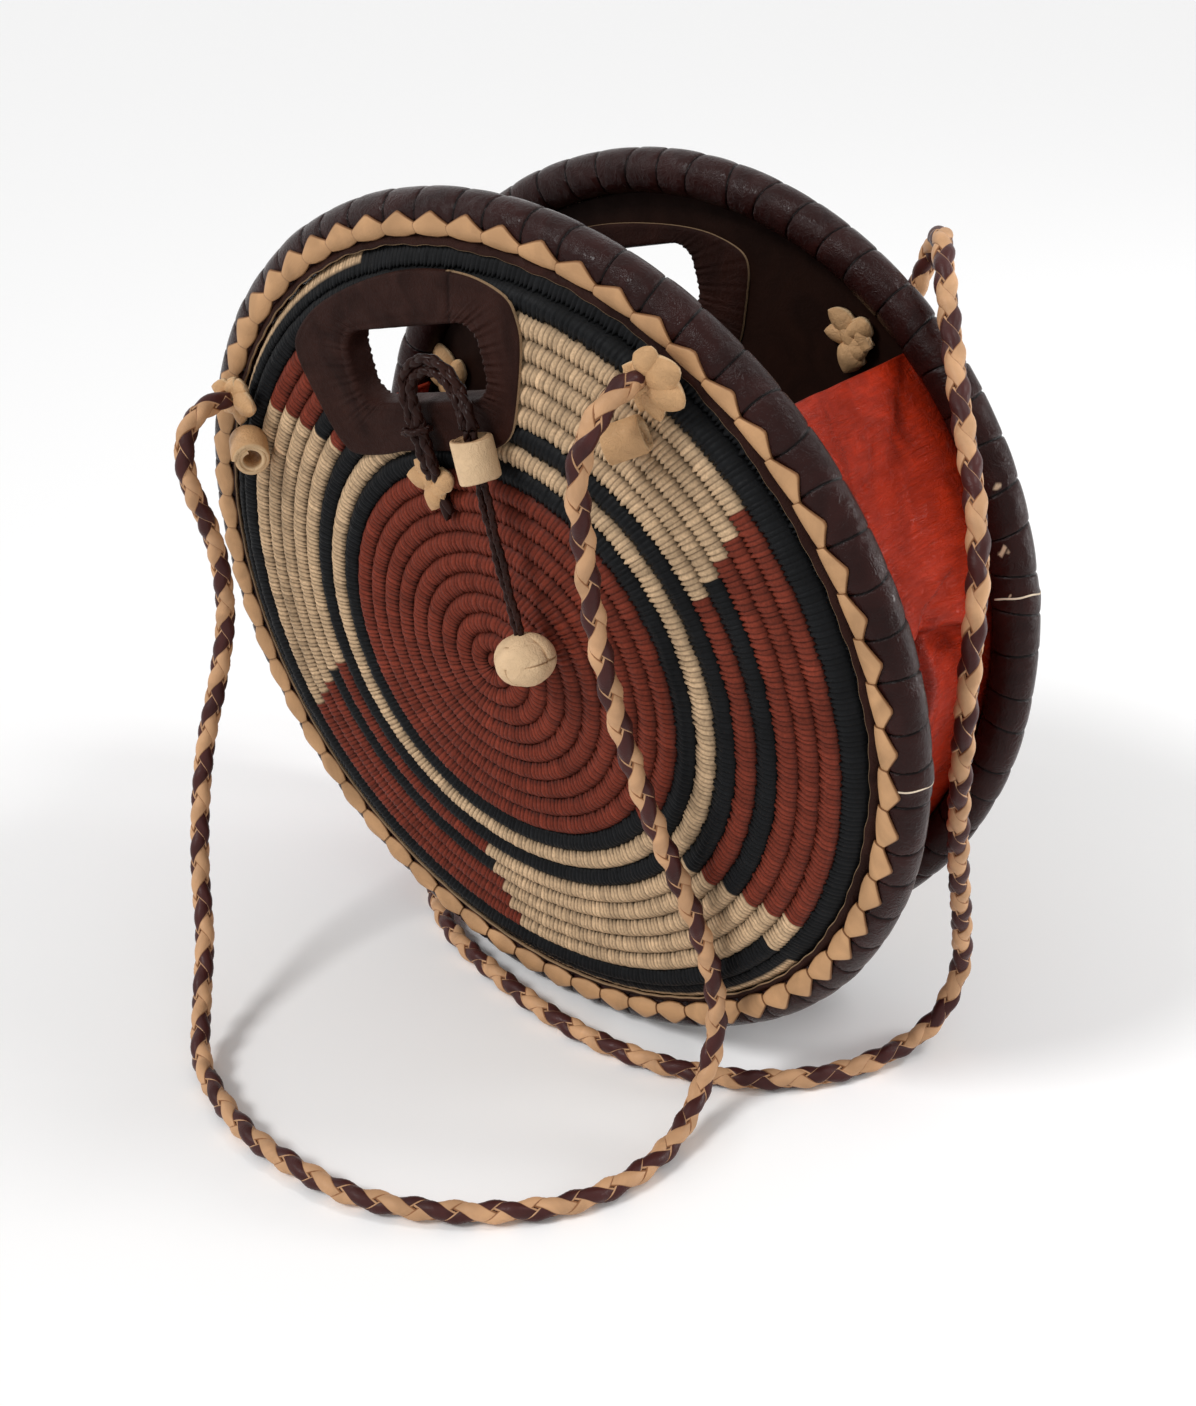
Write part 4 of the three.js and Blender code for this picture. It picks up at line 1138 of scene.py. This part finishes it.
def tail_piece():
    """The two cords of the tail, from its top into the ball."""
    top, down, ball = tail_line()
    normal = FRONT.turn([0, 0, 1.0])
    side = unit(np.cross(down, normal))
    reach = np.linalg.norm(ball - top) - BALL_RADIUS + 1 * MM
    heap = Heap()
    t = np.linspace(0, 1, 110)[:, None]
    for sign in (-1, 1):
        lane = (top + down * reach * t + normal * 0.8 * MM * np.sin(np.pi * t)
                + side * sign * (1.7 - 0.9 * t**2 + 0.35 * np.sin(7 * np.pi * t)) * MM)
        braid(heap, lane, 3.1 * MM, 10 * MM, slots=(0, 0), phase=sign)
    piece = heap.piece("closure_tail_cord", [finishes("cord leather")])
    return settle(piece, "closure_tail", "dark_cord", "closure_tail")


def keeper_piece():
    """The loop that keeps the arch on the hole's lower edge."""
    heap = Heap()
    keeper = FRONT.place(*FRONT.above(*KEEPER, 7.5 * MM))
    out = FRONT.turn(FRONT.normal(*KEEPER))
    turn = np.linspace(0, 2 * np.pi, 60)[:, None]
    loop = keeper + FRONT.axes[0] * 5.6 * MM * np.cos(turn) + out * 4.0 * MM * np.sin(turn)
    braid(heap, loop, 2.9 * MM, 9 * MM, slots=(0, 0))
    piece = heap.piece("closure_keeper", [finishes("cord leather")])
    return settle(piece, "front_panel", "dark_cord", "closure_keeper_loop")


# Operators

# The camera as fitted to the photo: places in metres, a roll, and a focal length in pixels of its height
CAMERA_EYE = Vector((0.4580, -0.5360, 0.4984))
CAMERA_TARGET = Vector((0.03597, -0.03982, 0.16026))
CAMERA_ROLL = math.radians(-0.77)
FOCAL_PIXELS = 1890.8
PHOTO_HEIGHT = 1406
SENSOR = 36

# Lamps: name, place in metres, kind, power, and angle of a sun or size of an area
LAMPS = (
    ("key", (-0.50, -1.40, 1.60), "SUN", 1.55, math.radians(17)),
    ("rim light", (1.0, 0.95, 0.28), "AREA", 6.0, 0.35),
    ("top light", (0.75, 0.45, 1.35), "AREA", 5.0, 0.3),
)

# Knots of the straps: the front ones' distance from their disc's middle and angle from upright, and the rear
# ones' angles from upright, left and right, in degrees
FRONT_KNOT_REACH = 158 * MM
FRONT_KNOT_ANGLE = math.radians(45.2)
REAR_KNOT_ANGLES = (56, 50)


class HANDBAG_OT_stage(bpy.types.Operator):
    """Make the floor, the lights, the world and the camera"""
    bl_idname = "handbag.stage"
    bl_label = "Stage"

    def execute(self, context):
        scene = context.scene
        scene.view_settings.view_transform = "Standard"
        eye = CAMERA_EYE
        ahead = (CAMERA_TARGET - eye).normalized()
        right = ahead.cross(Vector((0, 0, 1))).normalized()
        upward = right.cross(ahead)
        cosine, sine = math.cos(CAMERA_ROLL), math.sin(CAMERA_ROLL)
        right, upward = right * cosine + upward * sine, upward * cosine - right * sine
        camera = bpy.data.objects.new("camera", bpy.data.cameras.new("camera"))
        camera.matrix_world = Matrix((
            (right.x, upward.x, -ahead.x, eye.x), (right.y, upward.y, -ahead.y, eye.y),
            (right.z, upward.z, -ahead.z, eye.z), (0, 0, 0, 1)))
        camera.data.lens = SENSOR * FOCAL_PIXELS / PHOTO_HEIGHT
        camera.data.sensor_width = SENSOR
        camera.data.clip_start = 0.01
        scene.collection.objects.link(camera)
        scene.camera = camera
        self.add_floor(scene)
        self.add_world(scene)
        for name, place, kind, power, wide in LAMPS:
            lamp = bpy.data.lights.new(name, kind)
            lamp.energy = power
            setattr(lamp, "angle" if kind == "SUN" else "size", wide)
            light = bpy.data.objects.new(name, lamp)
            light.location = place
            light.rotation_euler = (Vector((0, 0, 0.15)) - light.location).to_track_quat("-Z", "Y").to_euler()
            scene.collection.objects.link(light)
        return {"FINISHED"}

    def add_floor(self, scene):
        """A pale floor that looks white and keeps the object's shadow."""
        material, tree, shader = blank_material("floor")
        shader.inputs["Base Color"].default_value = (1, 1, 1, 1)
        shader.inputs["Roughness"].default_value = 0.9
        shader.inputs["Specular IOR Level"].default_value = 0.1
        corners = [(-6, -6, 0), (6, -6, 0), (6, 6, 0), (-6, 6, 0)]
        floor = make_piece("floor", corners, [(0, 1, 2, 3)], [material])
        floor.location.z = -0.0004

    def add_world(self, scene):
        """Soft light from all round, and white where the camera looks past the floor."""
        world = bpy.data.worlds.new("studio")
        world.use_nodes = True
        scene.world = world
        tree = world.node_tree
        ground = tree.nodes["Background"]
        paths = node(tree, "ShaderNodeLightPath")
        seen = math_node(tree, "MAXIMUM", paths.outputs["Is Camera Ray"], paths.outputs["Is Glossy Ray"])
        seen = math_node(tree, "MAXIMUM", seen, paths.outputs["Is Transmission Ray"])
        power = node(tree, "ShaderNodeMapRange", {0: seen, 1: 0.0, 2: 1.0, 3: 0.55, 4: 1.0}).outputs[0]
        ground.inputs["Color"].default_value = (1, 1, 1, 1)
        tree.links.new(power, ground.inputs["Strength"])


class HANDBAG_OT_straps(bpy.types.Operator):
    """Braid the two straps along their routes"""
    bl_idname = "handbag.straps"
    bl_label = "Straps"

    def execute(self, context):
        strap_piece("front_braid", FRONT_ROUTE, "front_strap")
        strap_piece("rear_braid", REAR_ROUTE, "rear_strap")
        return {"FINISHED"}


class HANDBAG_OT_baskets(bpy.types.Operator):
    """Wrap the two coiled baskets"""
    bl_idname = "handbag.baskets"
    bl_label = "Baskets"

    def execute(self, context):
        for disc in (FRONT, REAR):
            basket_piece(disc)
        return {"FINISHED"}


class HANDBAG_OT_linings(bpy.types.Operator):
    """Line the discs with leather"""
    bl_idname = "handbag.linings"
    bl_label = "Linings"

    def execute(self, context):
        for disc in (FRONT, REAR):
            lining_piece(disc)
        return {"FINISHED"}


class HANDBAG_OT_rims(bpy.types.Operator):
    """Make the padded rolls, the flat bands and the lacings of the rims"""
    bl_idname = "handbag.rims"
    bl_label = "Rims"

    def execute(self, context):
        for disc, lap in ((FRONT, math.radians(-14)), (REAR, math.radians(183))):
            roll_piece(disc, lap)
            lap_piece(disc, lap)
            band_piece(disc)
            lacing_piece(disc)
        return {"FINISHED"}


class HANDBAG_OT_facings(bpy.types.Operator):
    """Face the hand holes with leather"""
    bl_idname = "handbag.facings"
    bl_label = "Hand holes"

    def execute(self, context):
        for disc in (FRONT, REAR):
            facing_piece(disc)
        return {"FINISHED"}


class HANDBAG_OT_gusset(bpy.types.Operator):
    """Join the discs with the soft gusset"""
    bl_idname = "handbag.gusset"
    bl_label = "Gusset"

    def execute(self, context):
        gusset_piece("gusset_right_skin", -42.48, 46.5, "end", "red_leather", "red leather", SIDE_FOLDS)
        gusset_piece("gusset_left_skin", 160.5, 249.48, "start", "red_leather", "red leather", SIDE_FOLDS)
        gusset_piece("gusset_bottom_skin", -110.5, -42.5, "", "dark_leather", "dark leather", [])
        return {"FINISHED"}


class HANDBAG_OT_knots(bpy.types.Operator):
    """Tie the straps' knots and roll the beads below them"""
    bl_idname = "handbag.knots"
    bl_label = "Knots and beads"

    def execute(self, context):
        for side, sign in (("left", -1), ("right", 1)):
            angle = math.pi / 2 - sign * FRONT_KNOT_ANGLE
            x, y = FRONT_KNOT_REACH * math.cos(angle), FRONT_KNOT_REACH * math.sin(angle)
            leaves = KNOT_LEAVES[f"front_{side}"]
            star_knot(f"front_strap_knot_{side}", FRONT, x, y, 1.8 * MM, leaves, 11 * MM, 5 * MM)
            (dx, dy), lift, axis, wide, long, bore = BEADS[side]
            centre = FRONT.place(*FRONT.above(x + dx * MM, y + dy * MM, lift * MM))
            rolled_bead(f"front_bead_{side}", "front_panel", f"front_strap_bead_{side}", centre, axis,
                        TOWARDS_CAMERA, wide * MM, bore * MM, long * MM)
        for side, sign, turned in zip(("left", "right"), (1, -1), REAR_KNOT_ANGLES):
            angle = math.pi / 2 - sign * math.radians(turned)
            reach = REAR.radius - 31.5 * MM
            x, y = reach * math.cos(angle), reach * math.sin(angle)
            leaves = KNOT_LEAVES[f"rear_{side}"]
            star_knot(f"rear_strap_knot_{side}", REAR, x, y, -9.5 * MM, leaves, 11 * MM, 5 * MM, inside=True)
        return {"FINISHED"}


class HANDBAG_OT_closure(bpy.types.Operator):
    """Make the closure: anchor knot, braided cord, keeper, slider, tail and ball"""
    bl_idname = "handbag.closure"
    bl_label = "Closure"

    def execute(self, context):
        leaves = KNOT_LEAVES["anchor"]
        star_knot("closure_anchor_knot", FRONT, 0.0, 76.5 * MM, 0.3 * MM, leaves, 9.5 * MM, 4 * MM)
        arch_piece()
        tail_piece()
        top, down, ball = tail_line()
        rolled_bead("closure_slider_roll", "closure_slider", "closure_slider", top + down * 10.1 * MM, down,
                    FRONT.turn([0, 0, 1.0]), 8.1 * MM, 4.9 * MM, 15.6 * MM, "pale leather")
        ball_piece("closure_ball_knot", ball, BALL_RADIUS)
        keeper_piece()
        return {"FINISHED"}


class HANDBAG_PT_panel(bpy.types.Panel):
    """The handbag's pieces, sizes and colours"""
    bl_label = "Handbag"
    bl_idname = "HANDBAG_PT_panel"
    bl_space_type = "VIEW_3D"
    bl_region_type = "UI"
    bl_category = "Handbag"

    def draw(self, context):
        for operator in OPERATORS:
            self.layout.operator(operator.bl_idname)
        for owner, kind in ((context.scene.handbag_sizes, HandbagSizes),
                            (context.scene.handbag_colours, HandbagColours)):
            for name in kind.__annotations__:
                self.layout.prop(owner, name)


OPERATORS = (HANDBAG_OT_stage, HANDBAG_OT_straps, HANDBAG_OT_baskets, HANDBAG_OT_linings, HANDBAG_OT_rims,
             HANDBAG_OT_facings, HANDBAG_OT_gusset, HANDBAG_OT_knots, HANDBAG_OT_closure)
CLASSES = (HandbagSizes, HandbagColours, *OPERATORS, HANDBAG_PT_panel)


def register():
    for kind in CLASSES:
        bpy.utils.register_class(kind)
    bpy.types.Scene.handbag_sizes = PointerProperty(type=HandbagSizes)
    bpy.types.Scene.handbag_colours = PointerProperty(type=HandbagColours)


def unregister():
    del bpy.types.Scene.handbag_colours
    del bpy.types.Scene.handbag_sizes
    for kind in reversed(CLASSES):
        bpy.utils.unregister_class(kind)


def main():
    """Register the add-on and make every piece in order."""
    register()
    for operator in OPERATORS:
        group, action = operator.bl_idname.split(".")
        getattr(getattr(bpy.ops, group), action)()


if __name__ == "__main__":
    main()
